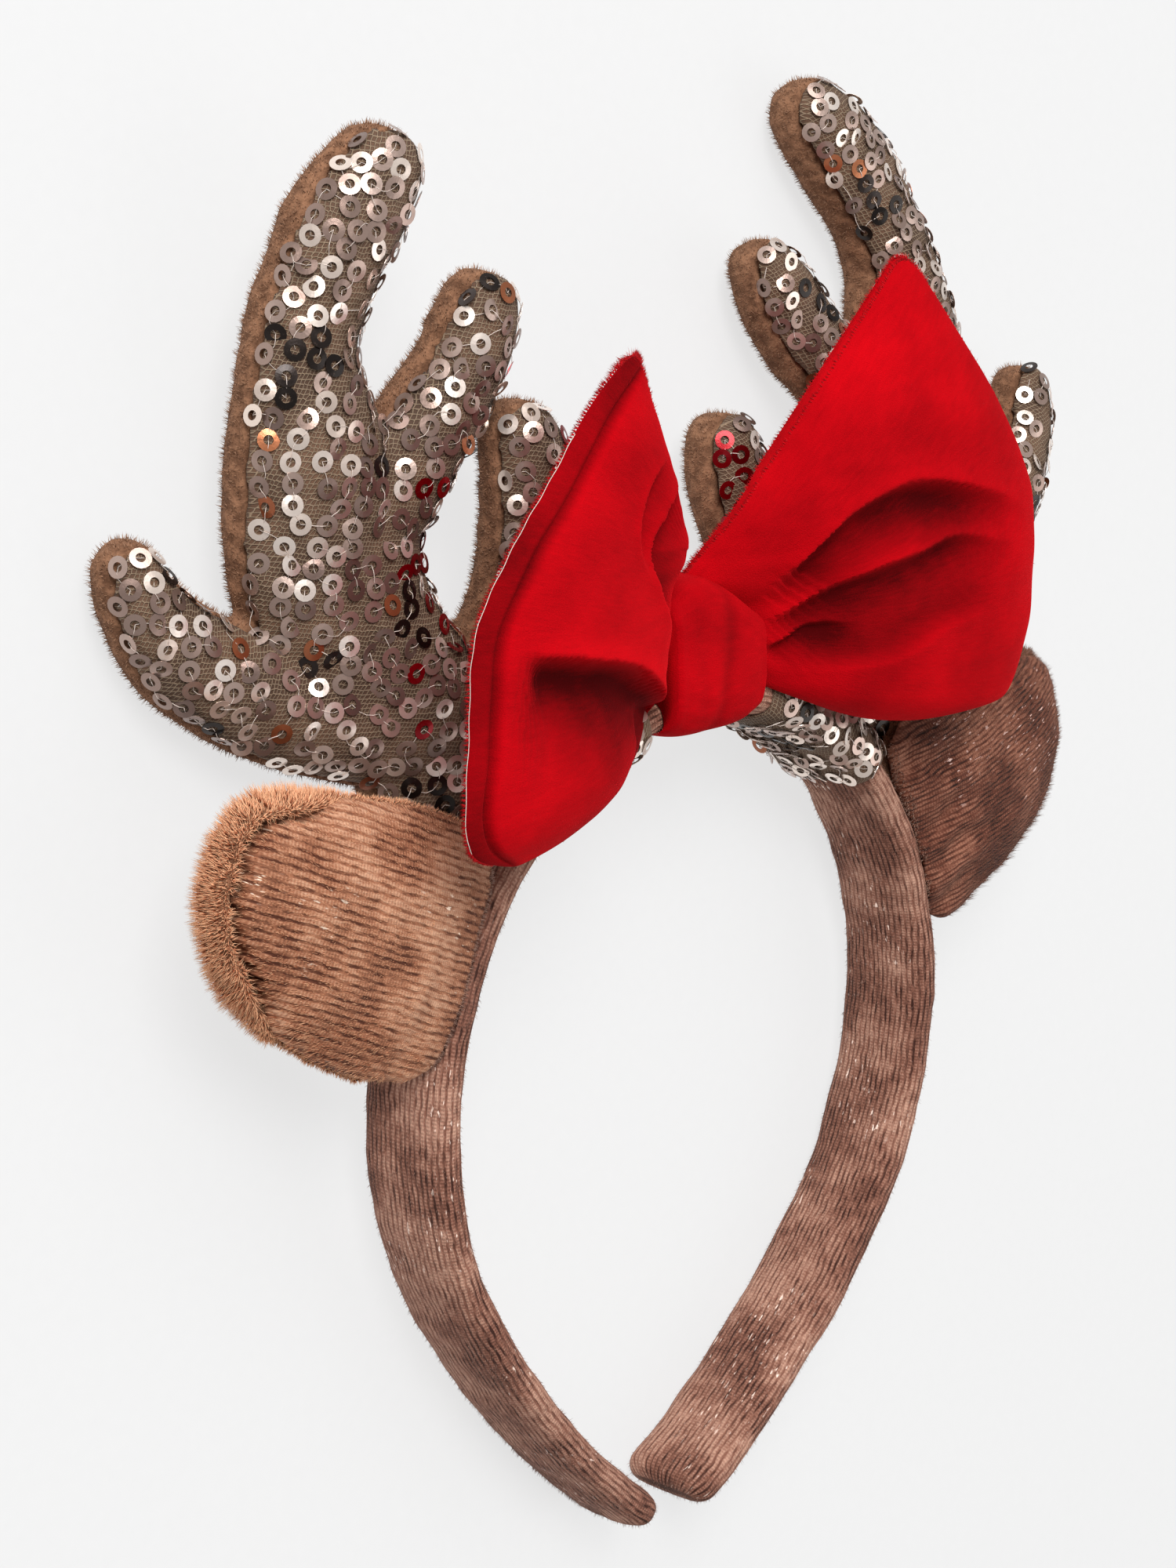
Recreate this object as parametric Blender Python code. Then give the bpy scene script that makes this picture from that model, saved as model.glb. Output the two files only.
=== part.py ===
"""A reindeer antler headband, lying on its back the way it rests by itself.

The padded band is an open loop. It carries two stuffed antlers, each a shallow sequined front
and a deep plush back that meet at a seam, two padded ears and a big velvet bow with its knot.
Everything is modelled in the band's own frame: the origin is the centreline at the top of the
head, X runs to the viewer's right, Y towards the antler tips and Z to the front. The last step
turns that frame until the object stands on the three places where it touches a table.
"""

import math
from typing import NamedTuple

import bmesh
import bpy
import numpy as np
from mathutils import Matrix, Vector

MM = 0.001
GAP = 0.3 * MM
WELD = 0.03 * MM

HEAD_RADIUS = 66.1 * MM
BAND_WIDTH = 20.0 * MM
BAND_THICKNESS = 7.7 * MM
BAND_SQUARENESS = 2.8
BAND_STEP = 6.6 * MM
BAND_SIDES = 16
TIP_ROUNDING = 3.2 * MM
TIP_BENDS = (35.0, 65.0, 90.0)

WRAP_WALL = 1.5 * MM

ANTLER_HEIGHT = 98.0 * MM
ANTLER_THICKNESS = 15.5 * MM
FRONT_SHARE = 0.33
TINE_WIDTH = 18.0 * MM
TINE_SIDES = 14
TINE_FULLEST = 1.25
TINE_TIP_BENDS = (35.0, 62.0, 82.0)
SLAB_REACH = 500.0 * MM

EAR_LENGTH = 56.0 * MM
EAR_WIDTH = 47.0 * MM
EAR_THICKNESS = 15.0 * MM
EAR_FRONT_SHARE = 0.58
EAR_SEAT_Z = 6.0 * MM
EAR_SEAT_DEPTH = 2.0 * MM
EAR_LEAN_BACK = 1.5
EAR_SIDES = 16

BOW_REACH = 75.0 * MM
BOW_HEIGHT = 90.0 * MM
BOW_THICKNESS = 13.0 * MM
BOW_BACK_SHARE = 0.10
BOW_BEND = 0.235
BOW_RISE = 10.6 * MM
BOW_FORWARD = 12.4 * MM
BOW_SEAT = 9.0 * MM

KNOT_WIDTH = 24.0 * MM
KNOT_WALL = 2.0 * MM
KNOT_TOP = 12.6 * MM
KNOT_BULGE = 3.2 * MM
KNOT_SIDES = 24
KNOT_SQUARENESS = 4.0
KNOT_DRAWN_IN = 0.12
KNOT_STATIONS = (-1.0, -0.92, -0.7, -0.3, 0.3, 0.7, 0.92, 1.0)


class Arc(NamedTuple):
    """One tangent arc of half the band, from the top down. The radius is a share of HEAD_RADIUS."""

    radius: float
    sweep: float


class Tine(NamedTuple):
    """A point of a tine's middle line and half its width there.

    out and up are shares of ANTLER_HEIGHT from the seat, half is a share of TINE_WIDTH.
    """

    out: float
    up: float
    half: float


class Section(NamedTuple):
    """An ear's cross section: shares of EAR_LENGTH, half EAR_WIDTH, EAR_THICKNESS and EAR_WIDTH.

    The last one is how far the section's middle lies above the straight line out.
    """

    along: float
    width: float
    thick: float
    lift: float


class Rim(NamedTuple):
    """A point of a bow loop's free edge: shares of BOW_REACH, half BOW_HEIGHT and BOW_REACH."""

    out: float
    up: float
    forward: float


class Fold(NamedTuple):
    """A crease that runs out of the knot, on the front of a loop.

    near and far are its places at the knot and at the rim, from 0 at the lower edge to 1 at the
    upper one. spread is its half width on that scale and depth a share of BOW_THICKNESS.
    """

    near: float
    far: float
    spread: float
    depth: float


class Side(NamedTuple):
    """How the soft pieces sit on one side.

    Angles are in degrees, arcs are shares of HEAD_RADIUS and seat_z a share of BAND_WIDTH.
    """

    sign: int
    wrap_from: float
    wrap_to: float
    seat: float
    seat_z: float
    splay: float
    lean: float
    roll: float
    stretch: float
    inner_turn: float
    ear_seat: float
    ear_rise: float


BAND_ARCS = (
    Arc(radius=1.0, sweep=84.0),
    Arc(radius=1.061, sweep=42.5),
    Arc(radius=2.832, sweep=19.6),
)

TINES = {
    "foot": (Tine(0.06, 0.07, 0.50), Tine(0.18, -0.02, 0.70), Tine(0.29, -0.10, 0.64)),
    "main": (
        Tine(0.20, -0.02, 0.63), Tine(0.33, 0.01, 0.86), Tine(0.46, 0.12, 0.92),
        Tine(0.535, 0.27, 0.95), Tine(0.58, 0.44, 0.80),
        Tine(0.615, 0.59, 0.55), Tine(0.60, 0.70, 0.51), Tine(0.56, 0.81, 0.53), Tine(0.515, 0.89, 0.47),
    ),
    "second": (
        Tine(0.47, 0.34, 0.60), Tine(0.40, 0.44, 0.53), Tine(0.33, 0.545, 0.46),
        Tine(0.29, 0.65, 0.43), Tine(0.28, 0.69, 0.38),
    ),
    "inner": (
        Tine(0.19, 0.02, 0.62), Tine(0.135, 0.16, 0.52), Tine(0.12, 0.30, 0.48),
        Tine(0.145, 0.43, 0.45), Tine(0.165, 0.475, 0.41),
    ),
    "outer": (
        Tine(0.36, -0.01, 0.66), Tine(0.55, 0.015, 0.60), Tine(0.695, 0.06, 0.54),
        Tine(0.80, 0.12, 0.48), Tine(0.865, 0.19, 0.38), Tine(0.885, 0.23, 0.32),
    ),
}

EAR_SECTIONS = (
    Section(0.00, 0.79, 0.42, 0.00), Section(0.10, 0.95, 0.66, 0.00), Section(0.25, 0.98, 0.90, 0.00),
    Section(0.45, 0.93, 1.00, -0.01), Section(0.65, 0.84, 0.96, 0.00), Section(0.80, 0.72, 0.80, 0.02),
    Section(0.91, 0.56, 0.56, 0.05), Section(0.97, 0.40, 0.34, 0.07), Section(1.00, 0.22, 0.15, 0.08),
)

LOOP_RIMS = {
    "left": (
        Rim(0.92, -0.55, 0.00), Rim(1.04, -0.39, 0.00), Rim(1.02, -0.01, 0.00), Rim(0.98, 0.32, 0.00),
        Rim(0.86, 0.58, 0.02), Rim(0.72, 0.80, 0.04), Rim(0.60, 1.03, 0.08), Rim(0.46, 1.19, 0.12),
    ),
    "right": (
        Rim(0.84, -0.46, 0.00), Rim(0.92, -0.41, 0.00), Rim(0.98, -0.16, 0.00), Rim(1.00, 0.11, 0.00),
        Rim(0.99, 0.45, 0.00), Rim(0.89, 0.81, 0.00), Rim(0.75, 1.13, 0.00), Rim(0.61, 1.41, 0.00),
    ),
}

LOOP_FOLDS = {
    "left": (Fold(0.30, 0.38, 0.13, 0.34), Fold(0.72, 0.80, 0.12, 0.20)),
    "right": (Fold(0.66, 0.57, 0.10, 0.24), Fold(0.48, 0.40, 0.09, 0.20), Fold(0.26, 0.20, 0.08, 0.14)),
}

SIDES = {
    "left": Side(
        sign=-1, wrap_from=0.37, wrap_to=0.82, seat=0.47, seat_z=-0.03, splay=11.0, lean=5.0,
        roll=0.0, stretch=1.0, inner_turn=0.0, ear_seat=1.22, ear_rise=17.5,
    ),
    "right": Side(
        sign=1, wrap_from=0.14, wrap_to=0.70, seat=0.47, seat_z=-0.18, splay=-2.0, lean=-6.0,
        roll=24.0, stretch=1.10, inner_turn=15.0, ear_seat=1.00, ear_rise=24.0,
    ),
}

LOOP_STATIONS = 13
LOOP_POINTS = 15
LOOP_ROOT_DROP = 7.0 * MM
LOOP_CORNER = (0.0, 0.6, 1.0)
LOOP_INNER_END = {"left": 0.62, "right": -0.4}
LOOP_BELLY = 5.5 * MM
LOOP_FULLNESS = (-2.0, 1.9, 0.42)
LOOP_END_POWER = 5
LOOP_SIDE_POWER = 2.6
FOLD_FADE = (0.8, 0.12)

COLOURS = {
    "velvet_brown": ((0.26, 0.12, 0.07), 0.75, 0.0),
    "velvet_red": ((0.55, 0.005, 0.01), 0.8, 0.0),
    "sequin_fabric": ((0.30, 0.20, 0.14), 0.35, 0.6),
    "plush": ((0.30, 0.15, 0.08), 0.9, 0.0),
}


def clear_scene():
    """Removes the startup scene's objects."""
    for item in list(bpy.data.objects):
        bpy.data.objects.remove(item, do_unlink=True)


def material(name):
    """A plain finish with the piece's colour, roughness and metallic value."""
    found = bpy.data.materials.get(name)
    if found:
        return found
    colour, roughness, metallic = COLOURS[name]
    made = bpy.data.materials.new(name)
    made.use_nodes = True
    surface = made.node_tree.nodes["Principled BSDF"]
    surface.inputs["Base Color"].default_value = (*colour, 1.0)
    surface.inputs["Roughness"].default_value = roughness
    surface.inputs["Metallic"].default_value = metallic
    return made


def collection(name):
    """The collection of that name, made and linked when it is missing."""
    found = bpy.data.collections.get(name)
    if not found:
        found = bpy.data.collections.new(name)
        bpy.context.scene.collection.children.link(found)
    return found


def band_centreline(arc, sign):
    """The band's centreline at a distance from the top.

    Returns the point, the outward normal and the direction away from the top, in the XY plane.
    sign is 1 for the viewer's right arm and -1 for the left one.
    """
    x = y = heading = 0.0
    left = arc
    for index, row in enumerate(BAND_ARCS):
        radius = row.radius * HEAD_RADIUS
        length = radius * math.radians(row.sweep)
        last = index == len(BAND_ARCS) - 1
        turn = (left if last else min(left, length)) / radius
        x += radius * (math.sin(heading + turn) - math.sin(heading))
        y += radius * (math.cos(heading + turn) - math.cos(heading))
        heading += turn
        left -= length
        if left <= 0:
            break
    point = Vector((sign * x, y, 0.0))
    outward = Vector((sign * math.sin(heading), math.cos(heading), 0.0))
    onward = Vector((sign * math.cos(heading), -math.sin(heading), 0.0))
    return point, outward, onward


def half_length():
    """The band's length from the top to a free end."""
    return sum(row.radius * HEAD_RADIUS * math.radians(row.sweep) for row in BAND_ARCS)


def loft(name, rings, finish, home="headband"):
    """A closed body through rings of points, each of the same count, with flat caps."""
    rings = np.asarray(rings, float)
    count, around = rings.shape[:2]
    row, column = np.meshgrid(np.arange(count - 1), np.arange(around), indexing="ij")
    onward = (column + 1) % around
    sides = np.stack(
        [row * around + column, row * around + onward, (row + 1) * around + onward, (row + 1) * around + column],
        axis=-1,
    ).reshape(-1, 4)
    last = (count - 1) * around
    faces = sides.tolist() + [list(range(around))[::-1], list(range(last, last + around))]
    mesh = bpy.data.meshes.new(name)
    mesh.from_pydata(rings.reshape(-1, 3).tolist(), [], faces)
    body = bmesh.new()
    body.from_mesh(mesh)
    bmesh.ops.recalc_face_normals(body, faces=body.faces)
    if body.calc_volume(signed=True) < 0:
        bmesh.ops.reverse_faces(body, faces=body.faces)
    body.to_mesh(mesh)
    body.free()
    made = bpy.data.objects.new(name, mesh)
    made.data.materials.append(material(finish))
    collection(home).objects.link(made)
    return made


def as_helper(helper):
    """Marks a cutter or an added shape, which isn't a piece of its own."""
    helper.hide_render = True
    helper.display_type = "WIRE"
    return helper


def boolean(target, helper, operation="DIFFERENCE"):
    """Cuts target with helper, or joins helper to it."""
    step = target.modifiers.new(f"{operation.lower()}_{helper.name}", "BOOLEAN")
    step.operation = operation
    step.object = as_helper(helper)


def apply_modifiers(target):
    """Replaces the target's mesh with what its modifiers make of it."""
    bpy.context.view_layer.update()
    shaped = target.evaluated_get(bpy.context.evaluated_depsgraph_get())
    mesh = bpy.data.meshes.new_from_object(shaped)
    target.modifiers.clear()
    target.data = mesh


def slab(name, frame, low, high):
    """A helper block between two heights along the third axis of a frame."""
    bpy.ops.mesh.primitive_cube_add(size=1.0)
    made = bpy.context.object
    made.name = name
    for other in list(made.users_collection):
        other.objects.unlink(made)
    collection("cutters").objects.link(made)
    made.data.transform(Matrix.Diagonal((SLAB_REACH, SLAB_REACH, high - low, 1.0)))
    made.data.transform(Matrix.Translation((0.0, 0.0, (low + high) / 2)))
    place(made, frame)
    return as_helper(made)


def split_at_seam(whole, front_name, back_name, frame, back_finish):
    """Parts a padded body at the seam plane of its frame, half a gap to each side."""
    front = whole
    back = whole.copy()
    back.data = whole.data.copy()
    for owner in whole.users_collection:
        owner.objects.link(back)
    front.name = front_name
    back.name = back_name
    back.data.materials.clear()
    back.data.materials.append(material(back_finish))
    boolean(front, slab(f"{front_name}_side", frame, GAP / 2, SLAB_REACH), "INTERSECT")
    boolean(back, slab(f"{back_name}_side", frame, -SLAB_REACH, -GAP / 2), "INTERSECT")
    return front, back


def superellipse(count, power):
    """Points of a rounded rectangle of half sizes 1, as cosines and sines raised to a power."""
    angle = np.arange(count) * 2 * np.pi / count + np.pi / count
    cosine, sine = np.cos(angle), np.sin(angle)
    return np.sign(cosine) * np.abs(cosine) ** (2 / power), np.sign(sine) * np.abs(sine) ** (2 / power)


def band_rings(arcs, margin, rounded):
    """The band's sections at signed distances from the top, grown by a margin.

    Where rounded, the sections shrink at the free ends by a quarter circle of TIP_ROUNDING.
    """
    across, through = superellipse(BAND_SIDES, BAND_SQUARENESS)
    rings = []
    for arc in arcs:
        point, outward, _ = band_centreline(abs(arc), 1 if arc >= 0 else -1)
        inset = 0.0
        from_end = half_length() - abs(arc)
        if rounded and from_end < TIP_ROUNDING:
            inset = TIP_ROUNDING - math.sqrt(max(0.0, TIP_ROUNDING**2 - (TIP_ROUNDING - from_end) ** 2))
        half_width = BAND_WIDTH / 2 + margin - inset
        half_thickness = BAND_THICKNESS / 2 + margin - inset
        ring = np.zeros((BAND_SIDES, 3))
        ring += np.array(point)
        ring += through[:, None] * half_thickness * np.array(outward)
        ring[:, 2] += across * half_width
        rings.append(ring)
    return rings


def headband():
    """The padded velvet band, one open loop."""
    end = half_length()
    straight = end - TIP_ROUNDING
    pairs = max(8, round(straight / BAND_STEP))
    body = np.linspace(-straight, straight, 2 * pairs)
    tip = end - TIP_ROUNDING * (1 - np.sin(np.radians(TIP_BENDS)))
    arcs = np.concatenate([-tip[::-1], body, tip])
    return loft("headband", band_rings(arcs, 0.0, True), "velvet_brown")


def band_stretch(name, start, stop, margin, home="cutters", finish="velvet_brown"):
    """A stretch of the band grown by a margin, as a cutter or as a sleeve's outside."""
    count = max(4, round(abs(stop - start) / BAND_STEP) + 1)
    return loft(name, band_rings(np.linspace(start, stop, count), margin, False), finish, home)


def clear_of_band(piece, start, stop, margin):
    """Cuts a piece back so that it seats on the band or on a sleeve round it."""
    boolean(piece, band_stretch(f"{piece.name}_seat", start, stop, margin))


def wrap(side_name, side):
    """The sleeve of sequined fabric round the band under an antler."""
    start, stop = side.wrap_from * HEAD_RADIUS, side.wrap_to * HEAD_RADIUS
    name = f"antler_{side_name}_wrap"
    past = 2 * BAND_STEP
    sleeve = band_stretch(name, side.sign * start, side.sign * stop, GAP + WRAP_WALL, "headband", "sequin_fabric")
    clear_of_band(sleeve, side.sign * max(0.0, start - past), side.sign * (stop + past), GAP)
    return sleeve


def smooth_rows(rows, count):
    """Rows of numbers drawn out to count rows along a smooth curve through all of them."""
    rows = np.asarray(rows, float)
    padded = np.vstack([2 * rows[0] - rows[1], rows, 2 * rows[-1] - rows[-2]])
    place = np.linspace(0, len(rows) - 1, count)
    index = np.minimum(place.astype(int), len(rows) - 2)
    share = (place - index)[:, None]
    before, here, after, beyond = (padded[index + step] for step in range(4))
    return 0.5 * (
        2 * here + (after - before) * share + (2 * before - 5 * here + 4 * after - beyond) * share**2
        + (3 * here - before - 3 * after + beyond) * share**3
    )


def antler_frame(side, rolled):
    """The antler's seat: columns out, up and front, and the seat on the band.

    Splay turns the outer side back, lean tips the top forward and roll turns it in its plane.
    """
    splay, lean = math.radians(side.splay), math.radians(side.lean)
    roll = math.radians(side.roll if rolled else 0.0)
    out = Vector((side.sign * math.cos(splay), 0.0, -math.sin(splay)))
    facing = Vector((side.sign * math.sin(splay), 0.0, math.cos(splay)))
    up = Vector((0.0, 1.0, 0.0)) * math.cos(lean) + facing * math.sin(lean)
    front = facing * math.cos(lean) - Vector((0.0, 1.0, 0.0)) * math.sin(lean)
    rolled_out = out * math.cos(roll) + up * math.sin(roll)
    rolled_up = up * math.cos(roll) - out * math.sin(roll)
    seat, outward, _ = band_centreline(side.seat * HEAD_RADIUS, side.sign)
    seat = seat + outward * BAND_THICKNESS / 2 + Vector((0.0, 0.0, side.seat_z * BAND_WIDTH))
    frame = Matrix((rolled_out, rolled_up, front)).transposed().to_4x4()
    frame.translation = seat
    return frame


def tine_rings(rows, side, turn):
    """A tine's sections: ovals across its middle line, closing in a round tip."""
    table = np.array([tuple(row) for row in rows])
    table = table * [ANTLER_HEIGHT * side.stretch, ANTLER_HEIGHT * side.stretch, TINE_WIDTH]
    root = table[0, :2].copy()
    angle = math.radians(turn)
    spin = np.array([[math.cos(angle), math.sin(angle)], [-math.sin(angle), math.cos(angle)]])
    table[:, :2] = (table[:, :2] - root) @ spin + root
    path = smooth_rows(table, 2 * len(rows) - 1)
    along = np.gradient(path[:, :2], axis=0)
    along /= np.linalg.norm(along, axis=1)[:, None]
    end, ahead, half = path[-1, :2], along[-1], path[-1, 2]
    for bend in np.radians(TINE_TIP_BENDS):
        tip = np.append(end + ahead * half * math.sin(bend), half * math.cos(bend))
        path = np.vstack([path, tip])
        along = np.vstack([along, ahead])
    angles = np.arange(TINE_SIDES) * 2 * np.pi / TINE_SIDES
    half_widths = path[:, 2][:, None]
    fullness = np.minimum(TINE_FULLEST, np.sqrt(path[:, 2] / (TINE_WIDTH / 2)))[:, None]
    offset = half_widths * np.cos(angles)
    height = ANTLER_THICKNESS * (fullness * np.sin(angles) / 2 + FRONT_SHARE - 0.5)
    across = np.stack([along[:, 1], -along[:, 0]], axis=-1)
    flat = path[:, None, :2] + offset[..., None] * across[:, None, :]
    return np.concatenate([flat, height[..., None]], axis=-1)


def antler(side_name, side):
    """A stuffed antler: its tines joined, seated on its sleeve and parted at the seam."""
    name = f"antler_{side_name}"
    whole = None
    for tine, rows in TINES.items():
        frame = antler_frame(side, rolled=tine != "foot")
        turn = side.inner_turn if tine == "inner" else 0.0
        home = "cutters" if whole else "headband"
        tube = loft(f"{name}_{tine}", tine_rings(rows, side, turn), "sequin_fabric", home)
        place(tube, frame)
        if whole is None:
            whole = tube
        else:
            boolean(whole, tube, "UNION")
    reach = 2 * side.wrap_to * HEAD_RADIUS
    clear_of_band(whole, 0.0, side.sign * reach, GAP + WRAP_WALL + GAP)
    boolean(whole, ear_body(f"{name}_ear", side, GAP, "cutters"))
    apply_modifiers(whole)
    weld_slivers(whole)
    keep_largest_body(whole)
    halves = split_at_seam(whole, f"{name}_front", f"{name}_back", antler_frame(side, True), "plush")
    for half in halves:
        apply_modifiers(half)
        weld_slivers(half)
    return halves


def weld_slivers(target):
    """Merges the points that crossing tines leave all but on top of each other."""
    body = bmesh.new()
    body.from_mesh(target.data)
    bmesh.ops.triangulate(body, faces=body.faces)
    bmesh.ops.remove_doubles(body, verts=body.verts, dist=WELD)
    bmesh.ops.dissolve_degenerate(body, edges=body.edges, dist=WELD)
    bmesh.ops.triangulate(body, faces=body.faces)
    body.to_mesh(target.data)
    body.free()


def keep_largest_body(target):
    """Drops what a cut left on the far side of the band."""
    body = bmesh.new()
    body.from_mesh(target.data)
    islands, seen = [], set()
    for start in body.verts:
        if start in seen:
            continue
        island, queue = [], [start]
        seen.add(start)
        while queue:
            vertex = queue.pop()
            island.append(vertex)
            fresh = {edge.other_vert(vertex) for edge in vertex.link_edges} - seen
            seen |= fresh
            queue.extend(fresh)
        islands.append(island)
    islands.sort(key=len)
    for island in islands[:-1]:
        bmesh.ops.delete(body, geom=island, context="VERTS")
    body.to_mesh(target.data)
    body.free()


def ear_frame(side):
    """The ear's seat on the band: columns along, across and front."""
    seat, outward, _ = band_centreline(side.ear_seat * HEAD_RADIUS, side.sign)
    seat = seat + outward * (BAND_THICKNESS / 2 - EAR_SEAT_DEPTH) + Vector((0.0, 0.0, EAR_SEAT_Z))
    rise, back = math.radians(side.ear_rise), math.radians(EAR_LEAN_BACK)
    level = Vector((side.sign * math.cos(rise), math.sin(rise), 0.0))
    along = level * math.cos(back) - Vector((0.0, 0.0, 1.0)) * math.sin(back)
    across = Vector((0.0, 0.0, 1.0)).cross(level) * side.sign
    front = along.cross(across) * side.sign
    frame = Matrix((along, across, front)).transposed().to_4x4()
    frame.translation = seat
    return frame


def ear_body(name, side, margin, home):
    """A whole padded ear, grown by a margin: ovals along its length, closed to a blunt tip."""
    rows = np.array([tuple(row) for row in EAR_SECTIONS])
    angles = np.arange(EAR_SIDES) * 2 * np.pi / EAR_SIDES
    width = (rows[:, 1][:, None] * EAR_WIDTH / 2 + margin) * np.cos(angles) + rows[:, 3][:, None] * EAR_WIDTH
    fullness = np.where(np.sin(angles) > 0, EAR_FRONT_SHARE, 1 - EAR_FRONT_SHARE)
    height = (rows[:, 2][:, None] * EAR_THICKNESS * fullness + margin) * np.sin(angles)
    along = np.broadcast_to(rows[:, 0][:, None] * (EAR_LENGTH + margin), width.shape)
    whole = loft(name, np.stack([along, width, height], axis=-1), "velvet_brown", home)
    place(whole, ear_frame(side))
    return whole


def ear(side_name, side):
    """A padded ear, seated on the band and parted at its seam."""
    name = f"ear_{side_name}"
    whole = ear_body(name, side, 0.0, "headband")
    span = EAR_WIDTH
    seat = side.ear_seat * HEAD_RADIUS
    clear_of_band(whole, side.sign * (seat - span), side.sign * (seat + span), GAP)
    apply_modifiers(whole)
    return split_at_seam(whole, f"{name}_front", f"{name}_back", ear_frame(side), "plush")


def place(target, frame):
    """Moves a closed body into a frame, with its faces outwards where the frame mirrors it."""
    target.data.transform(frame)
    body = bmesh.new()
    body.from_mesh(target.data)
    if body.calc_volume(signed=True) < 0:
        bmesh.ops.reverse_faces(body, faces=body.faces)
    body.to_mesh(target.data)
    body.free()


def loop_grids(name, sign):
    """A bow loop's front and back as grids of points, from the knot to the free edge.

    The inner edge follows the knot's side and the top of it. Lines fan out from there to the
    rim, straight ones above and hanging ones below. The thickness rises from nothing at every
    edge, the front takes most of it, and the folds are smooth valleys in the front.
    """
    rim = smooth_rows([tuple(row) for row in LOOP_RIMS[name]], LOOP_POINTS)
    rim = rim * [BOW_REACH, BOW_HEIGHT / 2, BOW_REACH]
    share = np.linspace(0, 1, LOOP_POINTS)
    beside, above = KNOT_WIDTH / 2 + GAP, KNOT_TOP + GAP
    inner = LOOP_INNER_END[name] * KNOT_WIDTH / 2
    root = np.stack(
        [
            np.interp(share, LOOP_CORNER, (beside, beside, inner)),
            np.interp(share, LOOP_CORNER, (-LOOP_ROOT_DROP, above, above + GAP)),
            np.zeros(LOOP_POINTS),
        ],
        axis=-1,
    )
    station = (1 - np.cos(np.pi * np.linspace(0, 1, LOOP_STATIONS)))[:, None] / 2
    line = root + (rim - root) * station[..., None]
    line[..., 1] -= LOOP_BELLY * np.sin(np.pi * station) * (1 - share) ** 3
    full = np.polyval(LOOP_FULLNESS, station) * np.sqrt(1 - np.abs(2 * station - 1) ** LOOP_END_POWER)
    height = BOW_THICKNESS * full * np.sqrt(1 - np.abs(2 * share - 1) ** LOOP_SIDE_POWER)
    valleys = np.zeros_like(height)
    for fold in LOOP_FOLDS[name]:
        middle = fold.near + (fold.far - fold.near) * station
        fade = np.sin(np.pi * np.polyval(FOLD_FADE, station))
        valleys += fold.depth * BOW_THICKNESS * fade * np.exp(-(((share - middle) / fold.spread) ** 2))
    front = np.maximum(height * (1 - BOW_BACK_SHARE) - valleys, 0.0)
    plane = line[..., 2] + BOW_BEND * np.maximum(0.0, line[..., 0] - KNOT_WIDTH / 2)
    grids = []
    for rise in (front, -BOW_BACK_SHARE * height):
        grid = np.stack([sign * line[..., 0], line[..., 1], plane + rise], axis=-1)
        grids.append(grid)
    return grids


def pillow(name, front, back, finish):
    """A closed body from two grids of points that share their edges."""
    rows, columns = front.shape[:2]
    row, column = np.meshgrid(np.arange(rows - 1), np.arange(columns - 1), indexing="ij")
    corner = row * columns + column
    quads = np.stack([corner, corner + 1, corner + columns + 1, corner + columns], axis=-1).reshape(-1, 4)
    faces = np.vstack([quads, quads[:, ::-1] + rows * columns])
    points = np.concatenate([front.reshape(-1, 3), back.reshape(-1, 3)])
    mesh = bpy.data.meshes.new(name)
    mesh.from_pydata(points.tolist(), [], faces.tolist())
    body = bmesh.new()
    body.from_mesh(mesh)
    bmesh.ops.remove_doubles(body, verts=body.verts, dist=0.001 * MM)
    bmesh.ops.recalc_face_normals(body, faces=body.faces)
    if body.calc_volume(signed=True) < 0:
        bmesh.ops.reverse_faces(body, faces=body.faces)
    body.to_mesh(mesh)
    body.free()
    made = bpy.data.objects.new(name, mesh)
    mesh.materials.append(material(finish))
    collection("headband").objects.link(made)
    return made


def bow_frame():
    """The bow's middle: columns along the band to the right, away from the head and front."""
    seat, outward, onward = band_centreline(BOW_SEAT, -1)
    front = Vector((0.0, 0.0, 1.0))
    frame = Matrix((-onward, outward, front)).transposed().to_4x4()
    frame.translation = seat + outward * BOW_RISE + front * BOW_FORWARD
    return frame


def knot_rings():
    """The knot's sections across its width: rounded shapes that hold the band and the bow.

    Each section is a rounded rectangle in the plane across the band, in the bow's frame. The
    ends of the knot are drawn in a little, so that its middle bulges.
    """
    low = -BOW_RISE - BAND_THICKNESS / 2 - KNOT_WALL
    high = KNOT_TOP
    back = -BOW_FORWARD - BAND_WIDTH / 2 - KNOT_WALL
    front = KNOT_BULGE
    cosine, sine = superellipse(KNOT_SIDES, KNOT_SQUARENESS)
    rings = []
    for share in KNOT_STATIONS:
        drawn = 1.0 - KNOT_DRAWN_IN * abs(share) ** 4
        ring = np.zeros((KNOT_SIDES, 3))
        ring[:, 0] = share * KNOT_WIDTH / 2
        ring[:, 1] = low + (high - low) * (1 + sine * drawn) / 2
        ring[:, 2] = back + (front - back) * (1 + cosine * drawn) / 2
        ring[:, 1] = np.minimum(ring[:, 1], high)
        rings.append(ring)
    return rings


def bow():
    """The two velvet loops and the knot that ties them to the band."""
    knot = loft("bow_knot", knot_rings(), "velvet_red")
    place(knot, bow_frame())
    clear_of_band(knot, -BOW_SEAT - KNOT_WIDTH, -BOW_SEAT + KNOT_WIDTH, GAP)
    for name, side in SIDES.items():
        loop = pillow(f"bow_loop_{name}", *loop_grids(name, side.sign), "velvet_red")
        place(loop, bow_frame())


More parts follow.
